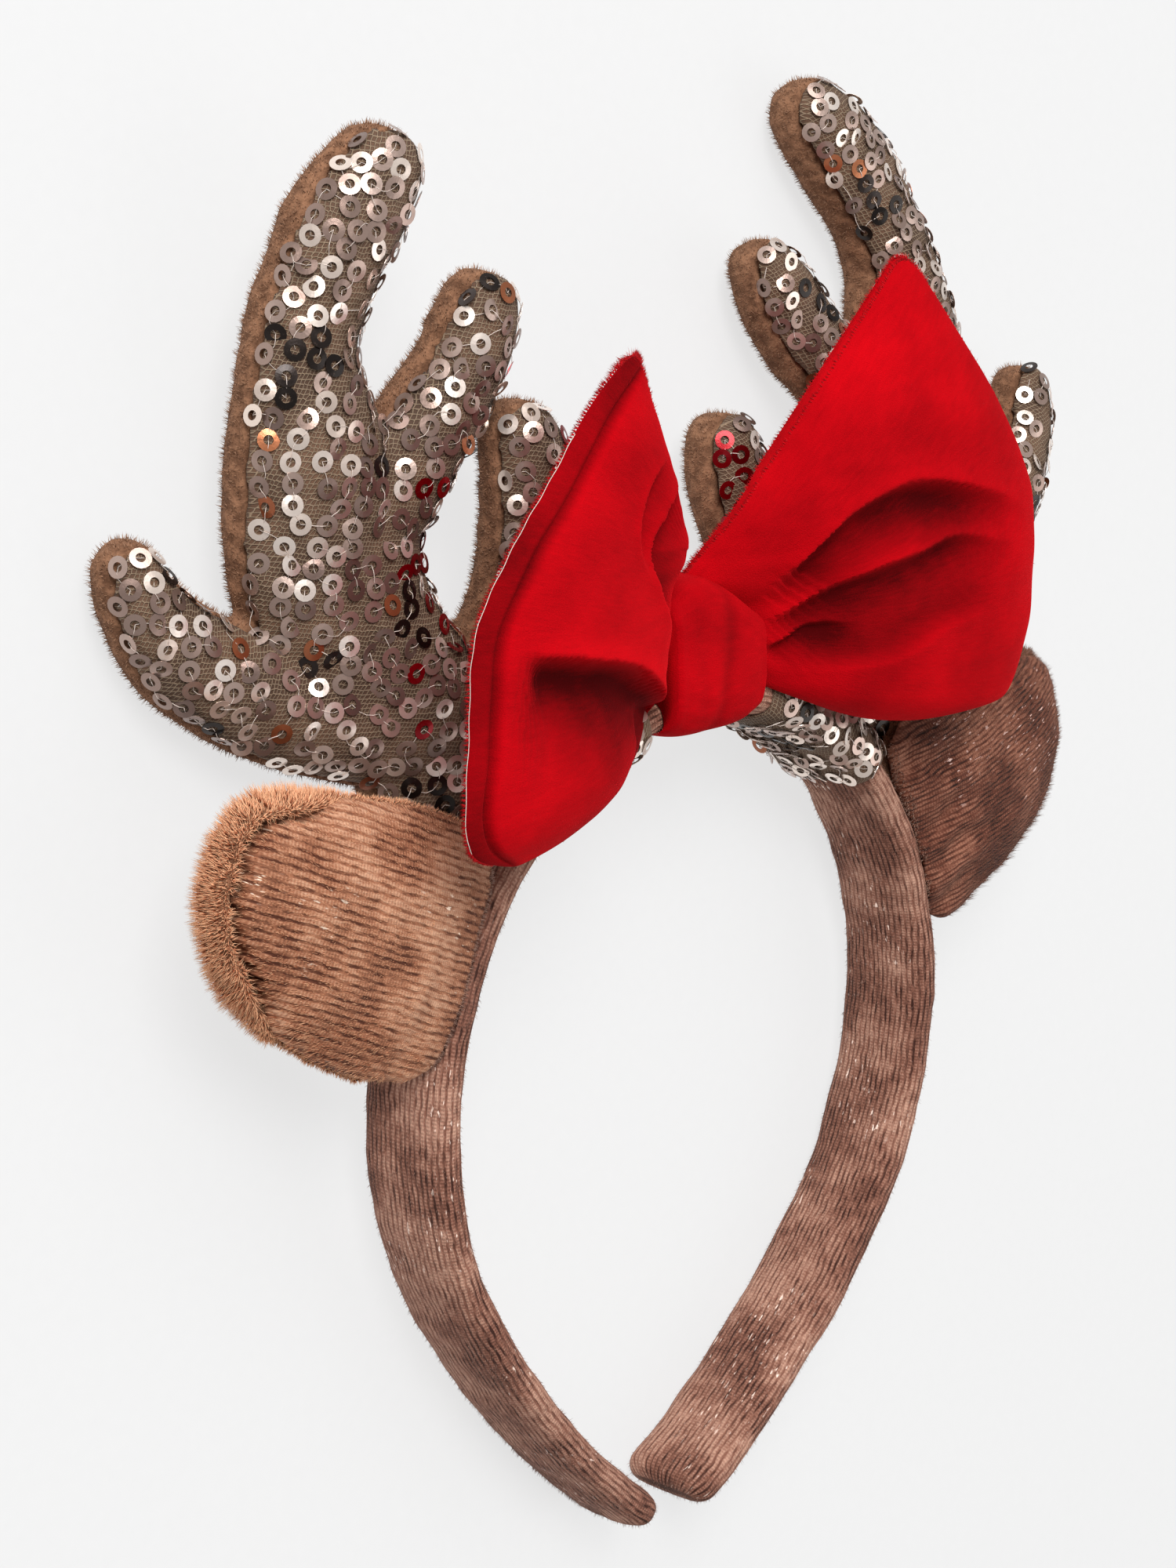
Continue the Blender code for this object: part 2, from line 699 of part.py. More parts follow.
def world_points(objects):
    """All corners of the objects' evaluated meshes in world space."""
    graph = bpy.context.evaluated_depsgraph_get()
    found = []
    for item in objects:
        shaped = item.evaluated_get(graph)
        mesh = shaped.to_mesh()
        co = np.empty(len(mesh.vertices) * 3)
        mesh.vertices.foreach_get("co", co)
        turn = np.array(shaped.matrix_world)
        found.append(co.reshape(-1, 3) @ turn[:3, :3].T + turn[:3, 3])
        shaped.to_mesh_clear()
    return np.vstack(found)


def centre_of_mass(objects):
    """The objects' common centre of volume, from tetrahedra to the origin."""
    graph = bpy.context.evaluated_depsgraph_get()
    total, moment = 0.0, np.zeros(3)
    for item in objects:
        shaped = item.evaluated_get(graph)
        mesh = shaped.to_mesh()
        mesh.calc_loop_triangles()
        co = np.empty(len(mesh.vertices) * 3)
        mesh.vertices.foreach_get("co", co)
        corners = np.empty(len(mesh.loop_triangles) * 3, np.int32)
        mesh.loop_triangles.foreach_get("vertices", corners)
        triangles = co.reshape(-1, 3)[corners.reshape(-1, 3)]
        volumes = np.linalg.det(triangles) / 6
        total += volumes.sum()
        moment += (volumes[:, None] * triangles.sum(axis=1) / 4).sum(axis=0)
        shaped.to_mesh_clear()
    return moment / total


def resting_turn(points, centre):
    """The turn that stands the object on a table, front up.

    It is the face of the points' convex hull that lies under the centre of mass, turned level.
    """
    body = bmesh.new()
    for point in points:
        body.verts.new(point)
    bmesh.ops.convex_hull(body, input=body.verts)
    bmesh.ops.triangulate(body, faces=body.faces)
    best, turn = 0.0, Matrix.Identity(3)
    for face in body.faces:
        normal = np.array(face.normal)
        if normal[2] > 0:
            continue
        corners = np.array([vertex.co for vertex in face.verts])
        edges = np.roll(corners, -1, axis=0) - corners
        inside = np.cross(edges, centre - corners) @ normal
        if (inside >= 0).all() and -normal[2] > best:
            best = -normal[2]
            turn = Vector(normal).rotation_difference(Vector((0.0, 0.0, -1.0))).to_matrix()
    body.free()
    return turn


def rest(objects):
    """Parents every piece to an empty that lays the object down around the world's origin."""
    bpy.context.view_layer.update()
    turn = resting_turn(world_points(objects), centre_of_mass(objects))
    rig = bpy.data.objects.new("rest", None)
    collection("headband").objects.link(rig)
    for item in objects:
        item.parent = rig
    for helper in collection("cutters").objects:
        helper.parent = rig
    placed = world_points(objects) @ np.array(turn).T
    low, high = placed.min(axis=0), placed.max(axis=0)
    shift = Vector((-(low[0] + high[0]) / 2, -(low[1] + high[1]) / 2, -low[2]))
    rig.matrix_world = Matrix.Translation(shift) @ turn.to_4x4()
    bpy.context.view_layer.update()


def main():
    """Builds every piece and lays the object down."""
    clear_scene()
    headband()
    for name, side in SIDES.items():
        wrap(name, side)
        antler(name, side)
        ear(name, side)
    bow()
    pieces = [item for item in collection("headband").objects if not item.hide_render]
    for piece in pieces:
        piece.data.shade_smooth()
    rest(pieces)


main()
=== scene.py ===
"""Dresses the reindeer antler headband: velvet band, sequined antlers, plush ears and a red bow.

Shapes are worked out in the band's own frame, in millimetres: the origin is the band's centreline
at the top of the head, X runs to the viewer's right, Y towards the antler tips and Z to the front.
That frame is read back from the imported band, so the looks follow the part however it rests.
"""

import logging
import math
from dataclasses import dataclass, field, replace
from enum import Enum
from typing import Optional, Sequence, Union

import bmesh
import bpy
import numpy as np
from bpy.types import ID, Material, Mesh, Node, NodeSocket, Object, bpy_struct
from mathutils import Matrix


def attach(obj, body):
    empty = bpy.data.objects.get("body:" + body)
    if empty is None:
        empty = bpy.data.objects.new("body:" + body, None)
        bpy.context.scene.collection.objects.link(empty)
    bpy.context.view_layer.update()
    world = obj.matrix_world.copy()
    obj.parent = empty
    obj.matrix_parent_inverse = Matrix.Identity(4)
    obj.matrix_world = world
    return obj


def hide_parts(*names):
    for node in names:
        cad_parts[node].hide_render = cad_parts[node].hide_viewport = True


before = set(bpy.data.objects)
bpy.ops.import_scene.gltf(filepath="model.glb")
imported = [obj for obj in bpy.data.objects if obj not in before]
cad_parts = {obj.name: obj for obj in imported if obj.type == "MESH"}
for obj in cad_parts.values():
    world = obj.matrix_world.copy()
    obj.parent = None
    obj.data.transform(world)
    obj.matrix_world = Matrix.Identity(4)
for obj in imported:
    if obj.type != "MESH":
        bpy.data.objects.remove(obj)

Array = np.ndarray
Colour = tuple[float, float, float]

MM = 0.001
LOG = logging.getLogger("headband")

BAND_ARCS = ((66.1, 84.0), (70.13, 42.5), (187.2, 19.6))
BAND_WIDTH = 20.0
BAND_THICKNESS = 7.7
BAND_SQUARENESS = 2.8
BAND_TOP_FACET = 3.761
TIP_ROUNDING = 3.2
BOW_MIDDLE = (-9.7, 9.2, 15.0)
CLEAR_OF_FLOOR = 0.02


class Hand(Enum):
    """The viewer's left or right side of the object."""

    LEFT = -1
    RIGHT = 1

    @property
    def label(self) -> str:
        """The word that the CAD nodes use for this side."""
        return self.name.lower()


class Slot(Enum):
    """The record's material slots."""

    BROWN = "velvet_brown"
    RED = "velvet_red"
    SEQUINED = "sequin_fabric"
    PLUSH = "plush"


# Shapes as arrays


@dataclass(frozen=True)
class BandFrame:
    """The band's frame inside the row frame.

    Attributes:
        origin: The centreline at the top of the head, in metres.
        axes: The band's X, Y and Z as rows.
    """

    origin: Array
    axes: Array

    @classmethod
    def from_node(cls, node: Object) -> "BandFrame":
        """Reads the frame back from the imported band.

        The band is a mirror image of itself across X and across Z, so its axes are the principal
        directions of its corners. Its highest corner along Y gives the height of the origin.

        Args:
            node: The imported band.

        Returns:
            The frame.
        """
        corners = np.unique(np.round(coordinates(node.data), 6), axis=0)
        middle = corners.mean(axis=0)
        _, directions = np.linalg.eigh(np.cov((corners - middle).T))
        axes = np.array([directions[:, np.argmax(np.abs(directions[row]))] for row in range(3)])
        axes *= np.sign(np.diag(axes))[:, None]
        top = ((corners - middle) @ axes[1]).max()
        return cls(middle + axes[1] * (top - BAND_TOP_FACET * MM), axes)

    def place(self, points: Array) -> Array:
        """Turns points in millimetres in the band's frame into metres in the row frame."""
        return points * MM @ self.axes + self.origin

    def turn(self, directions: Array) -> Array:
        """Turns directions from the band's frame into the row frame."""
        return np.asarray(directions, float) @ self.axes

    def measure(self, points: Array) -> Array:
        """Turns points in metres in the row frame into millimetres in the band's frame."""
        return (points - self.origin) @ self.axes.T / MM


@dataclass(frozen=True)
class BandLine:
    """Places along the band's centreline: points, outward normals and rightward tangents."""

    points: Array
    outward: Array
    rightward: Array

    @classmethod
    def at(cls, arcs: Array) -> "BandLine":
        """Walks the three tangent arcs of each half to signed distances from the top.

        Along an arc of radius r the heading grows by distance over r, and the place by r times
        the change of the heading's sine and cosine.

        Args:
            arcs: Distances in millimetres, negative on the viewer's left.

        Returns:
            The places.
        """
        arcs = np.atleast_1d(np.asarray(arcs, float))
        sign = np.where(arcs >= 0, 1.0, -1.0)
        left = np.abs(arcs)
        x, y, heading = (np.zeros_like(left) for _ in range(3))
        for index, (radius, sweep) in enumerate(BAND_ARCS):
            length = radius * math.radians(sweep)
            limit = np.inf if index == len(BAND_ARCS) - 1 else length
            turn = np.clip(left, 0.0, limit) / radius
            x += radius * (np.sin(heading + turn) - np.sin(heading))
            y += radius * (np.cos(heading + turn) - np.cos(heading))
            heading += turn
            left = left - length
        flat = np.zeros_like(x)
        return cls(
            np.stack([sign * x, y, flat], axis=-1),
            np.stack([sign * np.sin(heading), np.cos(heading), flat], axis=-1),
            np.stack([np.cos(heading), -sign * np.sin(heading), flat], axis=-1),
        )


def half_band_length() -> float:
    """The band's length from the top to a free end, in millimetres."""
    return sum(radius * math.radians(sweep) for radius, sweep in BAND_ARCS)


def read_rows(items: Sequence[bpy_struct], name: str, kind: type) -> Array:
    """Reads a property of three numbers from every item.

    Args:
        items: A mesh's corners, normals or triangles.
        name: The property's name.
        kind: The type of the numbers.

    Returns:
        A row for each item.
    """
    flat = np.empty(len(items) * 3, kind)
    items.foreach_get(name, flat)
    return flat.reshape(-1, 3)


def coordinates(mesh: Mesh) -> Array:
    """The corners of a mesh as rows of three numbers."""
    return read_rows(mesh.vertices, "co", float)


def vertex_normals(mesh: Mesh) -> Array:
    """The smooth normals of a mesh's corners."""
    return read_rows(mesh.vertex_normals, "vector", np.float32).astype(float)


def unit(directions: Array, least: float = 0.0) -> Array:
    """Directions at length 1: each is divided by its length, or by the least length if that is more."""
    return directions / np.maximum(np.linalg.norm(directions, axis=-1, keepdims=True), least)


def dots(first: Array, second: Array) -> Array:
    """The dot product of each row of one with the same row of the other."""
    return np.einsum("ij,ij->i", first, second)


def circle(count: int) -> Array:
    """Angles evenly round a full turn."""
    return np.arange(count) * 2 * np.pi / count


def spokes(count: int, first: Array, second: Array) -> Array:
    """Directions round a circle at each place: cosine times the first way plus sine times the second."""
    turn = circle(count)[None, :, None]
    return np.cos(turn) * first[:, None] + np.sin(turn) * second[:, None]


def smooth_rows(rows: Sequence[Sequence[float]], count: int) -> Array:
    """Draws rows of numbers out along a Catmull-Rom curve through all of them.

    Args:
        rows: The known rows.
        count: How many rows to return, evenly spread.

    Returns:
        An array of count rows.
    """
    known = np.asarray(rows, float)
    padded = np.vstack([2 * known[0] - known[1], known, 2 * known[-1] - known[-2]])
    place = np.linspace(0, len(known) - 1, count)
    index = np.minimum(place.astype(int), len(known) - 2)
    share = (place - index)[:, None]
    before, here, after, beyond = (padded[index + step] for step in range(4))
    return 0.5 * (
        2 * here
        + (after - before) * share
        + (2 * before - 5 * here + 4 * after - beyond) * share**2
        + (3 * here - before - 3 * after + beyond) * share**3
    )


def ramp(value: Array, low: float, high: float) -> Array:
    """A smooth step from 0 at low to 1 at high: three times the square less twice the cube."""
    share = np.clip((value - low) / (high - low), 0.0, 1.0)
    return share * share * (3 - 2 * share)


def lumps(points: Array, size: float, seed: int) -> Array:
    """A gentle random relief: the mean of plane waves in seeded directions.

    Args:
        points: Places, in any unit.
        size: The waves' length, in the same unit.
        seed: The seed of the draw.

    Returns:
        One value for each point, mostly from -1 to 1.
    """
    draw = np.random.default_rng(seed)
    waves = draw.normal(size=(14, 3))
    waves *= (2 * np.pi / size * draw.uniform(0.7, 1.5, 14) / np.linalg.norm(waves, axis=1))[:, None]
    phase = draw.uniform(0, 2 * np.pi, 14)
    return np.sin(points @ waves.T + phase).mean(axis=-1) * 2.6


def superellipse(angle: Array, power: float) -> tuple[Array, Array]:
    """A rounded rectangle of half sizes 1: the cosine and sine raised to 2 over power."""
    cosine, sine = np.cos(angle), np.sin(angle)
    return np.sign(cosine) * np.abs(cosine) ** (2 / power), np.sign(sine) * np.abs(sine) ** (2 / power)


def link(name: str, data: ID) -> Object:
    """Puts a mesh, camera or light into the scene.

    Args:
        name: The object's name.
        data: What it shows.

    Returns:
        The object, at the origin.
    """
    made = bpy.data.objects.new(name, data)
    bpy.context.scene.collection.objects.link(made)
    return made


def add_object(name: str, mesh: Mesh, finish: Material, slot: Slot) -> Object:
    """Adds a mesh as a piece of the object.

    Args:
        name: The piece's name.
        mesh: Its mesh, placed in the row frame.
        finish: Its material.
        slot: The record's slot for its finish; it is not used.

    Returns:
        The piece, riding on the root body.
    """
    piece = link(name, mesh)
    mesh.materials.clear()
    mesh.materials.append(finish)
    mesh.shade_smooth()
    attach(piece, "root")
    LOG.info("%s: %d faces", name, len(mesh.polygons))
    return piece


def above_floor(points: Array) -> Array:
    """Lifts what would sink into the surface that the object lies on: cloth is pressed flat there."""
    return np.column_stack([points[:, :2], np.maximum(points[:, 2], CLEAR_OF_FLOOR * MM)])


def mesh_from_arrays(
    name: str, points: Array, faces: Array, uv: Optional[Array] = None, uv_index: Optional[Array] = None
) -> Mesh:
    """Puts arrays into a mesh, with its faces turned outwards.

    Args:
        name: The mesh's name.
        points: Corners in metres, in the row frame.
        faces: Rows of three or four corner numbers. A triangle in a table of quads repeats its
            last corner.
        uv: Places on the cloth, in metres.
        uv_index: For each face corner, its row in uv. The default is the corner's own number.

    Returns:
        The mesh.
    """
    mesh = bpy.data.meshes.new(name)
    points = above_floor(points)
    uv_index = faces if uv_index is None else uv_index
    keep = np.ones(faces.shape, bool)
    if faces.shape[1] == 4:
        keep[:, 3] = faces[:, 3] != faces[:, 2]
    corners = points[np.where(keep, faces, faces[:, :1])] - points.mean(axis=0)
    volume = dots(corners[:, 0], np.cross(corners[:, 1], corners[:, 2])).sum()
    if faces.shape[1] == 4:
        volume += dots(corners[:, 0], np.cross(corners[:, 2], corners[:, 3])).sum()
    if volume < 0:
        faces, keep, uv_index = faces[:, ::-1], keep[:, ::-1], uv_index[:, ::-1]
    totals = keep.sum(axis=1)
    mesh.vertices.add(len(points))
    mesh.vertices.foreach_set("co", points.astype(np.float32).ravel())
    mesh.loops.add(int(totals.sum()))
    mesh.loops.foreach_set("vertex_index", faces[keep].astype(np.int32))
    mesh.polygons.add(len(faces))
    starts = np.concatenate([[0], np.cumsum(totals)[:-1]])
    mesh.polygons.foreach_set("loop_start", starts.astype(np.int32))
    mesh.update(calc_edges=True)
    if uv is not None:
        layer = mesh.uv_layers.new(name="Cloth")
        layer.data.foreach_set("uv", uv[uv_index[keep]].astype(np.float32).ravel())
    mesh.validate()
    return mesh


def grid_faces(rows: int, columns: int, wrap_rows: bool, wrap_columns: bool) -> tuple[Array, Array]:
    """Quads over a grid of corners that may close on itself.

    Args:
        rows: Rows of corners.
        columns: Columns of corners.
        wrap_rows: Whether the last row meets the first one.
        wrap_columns: Whether the last column meets the first one.

    Returns:
        The faces' corner numbers, and the same for a grid with one more row and column, where
        places on the cloth don't jump at the join.
    """
    row, column = np.meshgrid(
        np.arange(rows - (not wrap_rows)), np.arange(columns - (not wrap_columns)), indexing="ij"
    )
    row, column = row.ravel(), column.ravel()
    steps = ((0, 0), (0, 1), (1, 1), (1, 0))
    faces = np.stack([(row + a) % rows * columns + (column + b) % columns for a, b in steps], axis=-1)
    cloth = np.stack([(row + a) * (columns + 1) + (column + b) for a, b in steps], axis=-1)
    return faces, cloth


def cloth_places(grid: Array, wrap_rows: bool) -> Array:
    """Places on the cloth for a grid whose columns close: mean length along each way, in metres.

    Args:
        grid: Points in millimetres, rows by columns.
        wrap_rows: Whether the rows close as well.

    Returns:
        Two numbers for each corner of the grid with one more row and column.
    """
    rows, columns = grid.shape[:2]
    around = np.linalg.norm(np.roll(grid, -1, axis=1) - grid, axis=-1).mean(axis=0)
    along = np.linalg.norm(np.roll(grid, -1, axis=0) - grid, axis=-1).mean(axis=1)
    if not wrap_rows:
        along[-1] = 0.0
    u = np.concatenate([[0.0], np.cumsum(around)]) * MM
    v = np.concatenate([[0.0], np.cumsum(along)]) * MM
    return np.stack(np.broadcast_arrays(u[None, :], v[:, None]), axis=-1).reshape(-1, 2)


def tube(name: str, base: BandFrame, grid: Array) -> Mesh:
    """A closed skin over rings of points, with a fan of triangles over each end.

    Args:
        name: The mesh's name.
        base: The band's frame.
        grid: Rings by points round, in millimetres in the band's frame.

    Returns:
        The mesh.
    """
    rows, columns = grid.shape[:2]
    faces, cloth = grid_faces(rows, columns, False, True)
    uv = cloth_places(grid, False)
    around = np.arange(columns)
    onward = (around + 1) % columns
    first, last = rows * columns, rows * columns + 1
    start = np.stack([np.full(columns, first), onward, around, around], axis=-1)
    far = (rows - 1) * columns
    end = np.stack([np.full(columns, last), far + around, far + onward, far + onward], axis=-1)
    points = np.vstack([grid.reshape(-1, 3), grid[0].mean(axis=0), grid[-1].mean(axis=0)])
    caps = np.vstack([start, end])
    cap_cloth = np.where(caps < rows * columns, caps // columns * (columns + 1) + caps % columns, 0)
    return mesh_from_arrays(
        name, base.place(points), np.vstack([faces, caps]), uv, np.vstack([cloth, cap_cloth])
    )


def thread_tube(name: str, base: BandFrame, path: Array, radius: float, sides: int = 6) -> Mesh:
    """A thin closed tube along a path: a circle across the path's direction at each point.

    Args:
        name: The mesh's name.
        base: The band's frame.
        path: Points in millimetres in the band's frame.
        radius: The tube's radius, in millimetres.
        sides: Points round it.

    Returns:
        The mesh.
    """
    ahead = np.gradient(path, axis=0)
    side = unit(np.cross(ahead, [0.0, 0.0, 1.0]))
    other = unit(np.cross(ahead, side))
    return tube(name, base, path[:, None] + radius * spokes(sides, side, other))


def sleeve(name: str, base: BandFrame, outside: Array, inside: Array) -> Mesh:
    """A closed sleeve: out along one set of rings and back along the other.

    Args:
        name: The mesh's name.
        base: The band's frame.
        outside: Rings by points round, in millimetres in the band's frame.
        inside: The same for the inner skin.

    Returns:
        The mesh.
    """
    grid = np.concatenate([outside, inside[::-1]])
    faces, cloth = grid_faces(grid.shape[0], grid.shape[1], True, True)
    return mesh_from_arrays(name, base.place(grid.reshape(-1, 3)), faces, cloth_places(grid, True), cloth)


def pillow(name: str, base: BandFrame, front: Array, back: Array, uv: Array) -> Mesh:
    """A closed skin of two grids that share their edges.

    Args:
        name: The mesh's name.
        base: The band's frame.
        front: Rows by columns of points, in millimetres in the band's frame.
        back: The same for the back.
        uv: Places on the cloth for one grid, in metres.

    Returns:
        The mesh.
    """
    rows, columns = front.shape[:2]
    faces, _ = grid_faces(rows, columns, False, False)
    count = rows * columns
    inner = np.zeros((rows, columns), bool)
    inner[1:-1, 1:-1] = True
    number = np.arange(count).reshape(rows, columns)
    second = np.where(inner, count + np.cumsum(inner).reshape(rows, columns) - 1, number)
    points = np.vstack([front.reshape(-1, 3), back[inner]])
    both = np.vstack([faces, second.ravel()[faces[:, ::-1]]])
    cloth = np.vstack([faces, faces[:, ::-1]])
    return mesh_from_arrays(name, base.place(points), both, uv.reshape(-1, 2), cloth)


@dataclass(frozen=True)
class Spots:
    """Places on a skin: points and normals, in the row frame."""

    points: Array
    normals: Array

    def keep(self, mask: Array) -> "Spots":
        """Those places where the mask is true."""
        return Spots(self.points[mask], self.normals[mask])


def scatter(mesh: Mesh, count: int, seed: int) -> Spots:
    """Draws places on a mesh, evenly by area, with the smooth normals there.

    Args:
        mesh: The mesh.
        count: How many places.
        seed: The seed of the draw.

    Returns:
        The places.
    """
    draw = np.random.default_rng(seed)
    mesh.calc_loop_triangles()
    corners = read_rows(mesh.loop_triangles, "vertices", np.int32)
    points, normals = coordinates(mesh), vertex_normals(mesh)
    a, b, c = (points[corners[:, side]] for side in range(3))
    area = np.linalg.norm(np.cross(b - a, c - a), axis=1)
    chosen = draw.choice(len(corners), count, p=area / area.sum())
    first, second = np.sqrt(draw.uniform(size=count)), draw.uniform(size=count)
    weights = np.stack([1 - first, first * (1 - second), first * second], axis=-1)[..., None]
    found = (points[corners[chosen]] * weights).sum(axis=1)
    facing = (normals[corners[chosen]] * weights).sum(axis=1)
    return Spots(found, unit(facing))


def spread_out(spots: Spots, distance: float, most: int, wider: float = 1.0, after: int = 0) -> Spots:
    """Keeps places that lie at least a distance apart, first come first kept.

    Args:
        spots: The candidates.
        distance: The least distance, in metres.
        most: The most places to keep.
        wider: By how much the distance grows for the later candidates.
        after: How many candidates come before those.

    Returns:
        The kept places.
    """
    kept: list[int] = []
    taken = np.empty((0, 3))
    for index, point in enumerate(spots.points):
        least = distance * (wider if index >= after else 1.0)
        if len(taken) and np.min(np.sum((taken - point) ** 2, axis=1)) < least**2:
            continue
        kept.append(index)
        taken = spots.points[kept]
        if len(kept) >= most:
            break
    return spots.keep(np.array(kept))


def chained(
    spots: Spots, ways: "Ways", row: float, step: float, seed: int, within: float = 0.8
) -> Spots:
    """Picks places in meandering chains, as a thread lays them.

    Each chain is a line up the antler, bent by three sines with seeded phases. Of every second
    candidate, the nearest to each step on it is kept where it lies close enough.

    Args:
        spots: The candidates, in the row frame.
        ways: The antler's directions.
        row: The mean distance between chains, in metres.
        step: The distance between places along one, in metres.
        seed: The seed of the draw.
        within: How close a candidate has to lie to its step, in millimetres.

    Returns:
        The places, chain by chain.
    """
    draw = np.random.default_rng(seed)
    flat = ways.flat(spots.points)
    low, high = flat.min(axis=0), flat.max(axis=0)
    rows = np.arange(low[0], high[0] + row, row)
    steps = np.arange(low[1], high[1] + step, step)
    phase = draw.uniform(0, 2 * np.pi, (3, len(rows), 1))
    waves = sum(
        size * row * np.sin(2 * np.pi * steps[None, :] / length + phase[index])
        for index, (size, length) in enumerate(((0.34, 0.043), (0.22, 0.017), (0.14, 0.0095)))
    )
    uneven = np.broadcast_to(steps, waves.shape) + draw.normal(scale=0.09 * step, size=waves.shape)
    target = np.stack([rows[:, None] + waves, uneven], axis=-1).reshape(-1, 2)
    gap = ((target[:, None, :] - flat[None, ::2, :]) ** 2).sum(axis=-1)
    nearest = gap.argmin(axis=1)
    close = gap[np.arange(len(target)), nearest] < (within * MM) ** 2
    return spots.keep(2 * nearest[close])


def joined(first: Spots, second: Spots) -> Spots:
    """The places of both."""
    return Spots(np.vstack([first.points, second.points]), np.vstack([first.normals, second.normals]))


def tilted(directions: Array, degrees: float, seed: int) -> Array:
    """Leans directions over by random amounts.

    Args:
        directions: Unit directions.
        degrees: About the most that one leans.
        seed: The seed of the draw.

    Returns:
        The leaned unit directions.
    """
    draw = np.random.default_rng(seed)
    leaned = directions + math.tan(math.radians(degrees)) * draw.normal(size=directions.shape) * 0.6
    return unit(leaned)


def set_attribute(mesh: Mesh, name: str, values: Array) -> None:
    """Stores one number for each corner, for the materials to read."""
    made = mesh.attributes.new(name, "FLOAT", "POINT")
    made.data.foreach_set("value", values.astype(np.float32))


@dataclass(frozen=True)
class Pile:
    """Short hairs, each a slim closed pyramid whose foot stands a little under the skin.

    Attributes:
        finish: Their material.
        slot: The record's slot for it.
        length: Their mean length, one for all or one for each, in millimetres.
        width: The width of the foot, in millimetres.
        stray: How far they stray from the way in which they are combed.
        spread: The shortest and the longest, as shares of the mean length.
        sunk: How deep the foot stands, as a share of the length.
    """

    finish: Material
    slot: Slot
    length: Union[float, Array]
    width: float
    stray: float = 0.28
    spread: tuple[float, float] = (0.6, 1.25)
    sunk: float = 0.12

    def grow(self, name: str, spots: Spots, lie: Array, seed: int) -> None:
        """Builds the hairs as one piece, with a shade for each and its share from foot to tip.

        The tip is the foot plus the length along the normal blended with the lie, and the foot is
        an equal triangle across that direction.

        Args:
            name: The piece's name.
            spots: Where the hairs stand.
            lie: The direction in which they are combed, one for all or one for each.
            seed: The seed of the draw.
        """
        draw = np.random.default_rng(seed)
        count = len(spots.points)
        way = unit(spots.normals + lie + draw.normal(scale=self.stray, size=(count, 3)))
        side = unit(np.cross(way, draw.normal(size=(count, 3))))
        length = np.broadcast_to(self.length, count)[:, None] * MM
        foot = spots.points - spots.normals * length * self.sunk
        tip = foot + way * (length * draw.uniform(*self.spread, count)[:, None])
        ring = foot[:, None] + self.width * MM / 2 * spokes(3, side, np.cross(way, side))
        points = np.concatenate([ring, tip[:, None]], axis=1).reshape(-1, 3)
        pyramid = np.array([[0, 1, 3], [1, 2, 3], [2, 0, 3], [0, 2, 1]])
        faces = (np.arange(count)[:, None, None] * 4 + pyramid).reshape(-1, 3)
        mesh = mesh_from_arrays(name, points, faces)
        set_attribute(mesh, "shade", np.repeat(draw.uniform(size=count), 4))
        set_attribute(mesh, "along", np.tile([0.0, 0.0, 0.0, 1.0], count))
        add_object(name, mesh, self.finish, self.slot)


def softened(node: str, voxel: float, rounds: int) -> Mesh:
    """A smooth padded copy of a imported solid.

    Its corners are merged, it is cast again in even small faces, and those are relaxed.

    Args:
        node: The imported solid's name.
        voxel: The size of the new faces, in metres.
        rounds: How often the faces are relaxed.

    Returns:
        The new mesh.
    """
    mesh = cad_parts[node].data.copy()
    body = bmesh.new()
    body.from_mesh(mesh)
    bmesh.ops.remove_doubles(body, verts=body.verts, dist=1e-6)
    body.to_mesh(mesh)
    body.free()
    helper = link(f"{node}_source", mesh)
    cast = helper.modifiers.new("cast", "REMESH")
    cast.mode = "VOXEL"
    cast.voxel_size = voxel
    relax = helper.modifiers.new("relax", "SMOOTH")
    relax.factor = 0.5
    relax.iterations = rounds
    bpy.context.view_layer.update()
    shaped = helper.evaluated_get(bpy.context.evaluated_depsgraph_get())
    made = bpy.data.meshes.new_from_object(shaped)
    bpy.data.objects.remove(helper)
    return made


def move_corners(mesh: Mesh, points: Array) -> None:
    """Puts new places into a mesh."""
    mesh.vertices.foreach_set("co", above_floor(points).astype(np.float32).ravel())
    mesh.update()


@dataclass(frozen=True)
class Ways:
    """A stuffed piece's own directions in the row frame: its length, its width and its front."""

    along: Array
    across: Array
    front: Array

    def flat(self, points: Array) -> Array:
        """Places in the plane of the piece: how far they lie across and along it."""
        return np.stack([points @ self.across, points @ self.along], axis=-1)


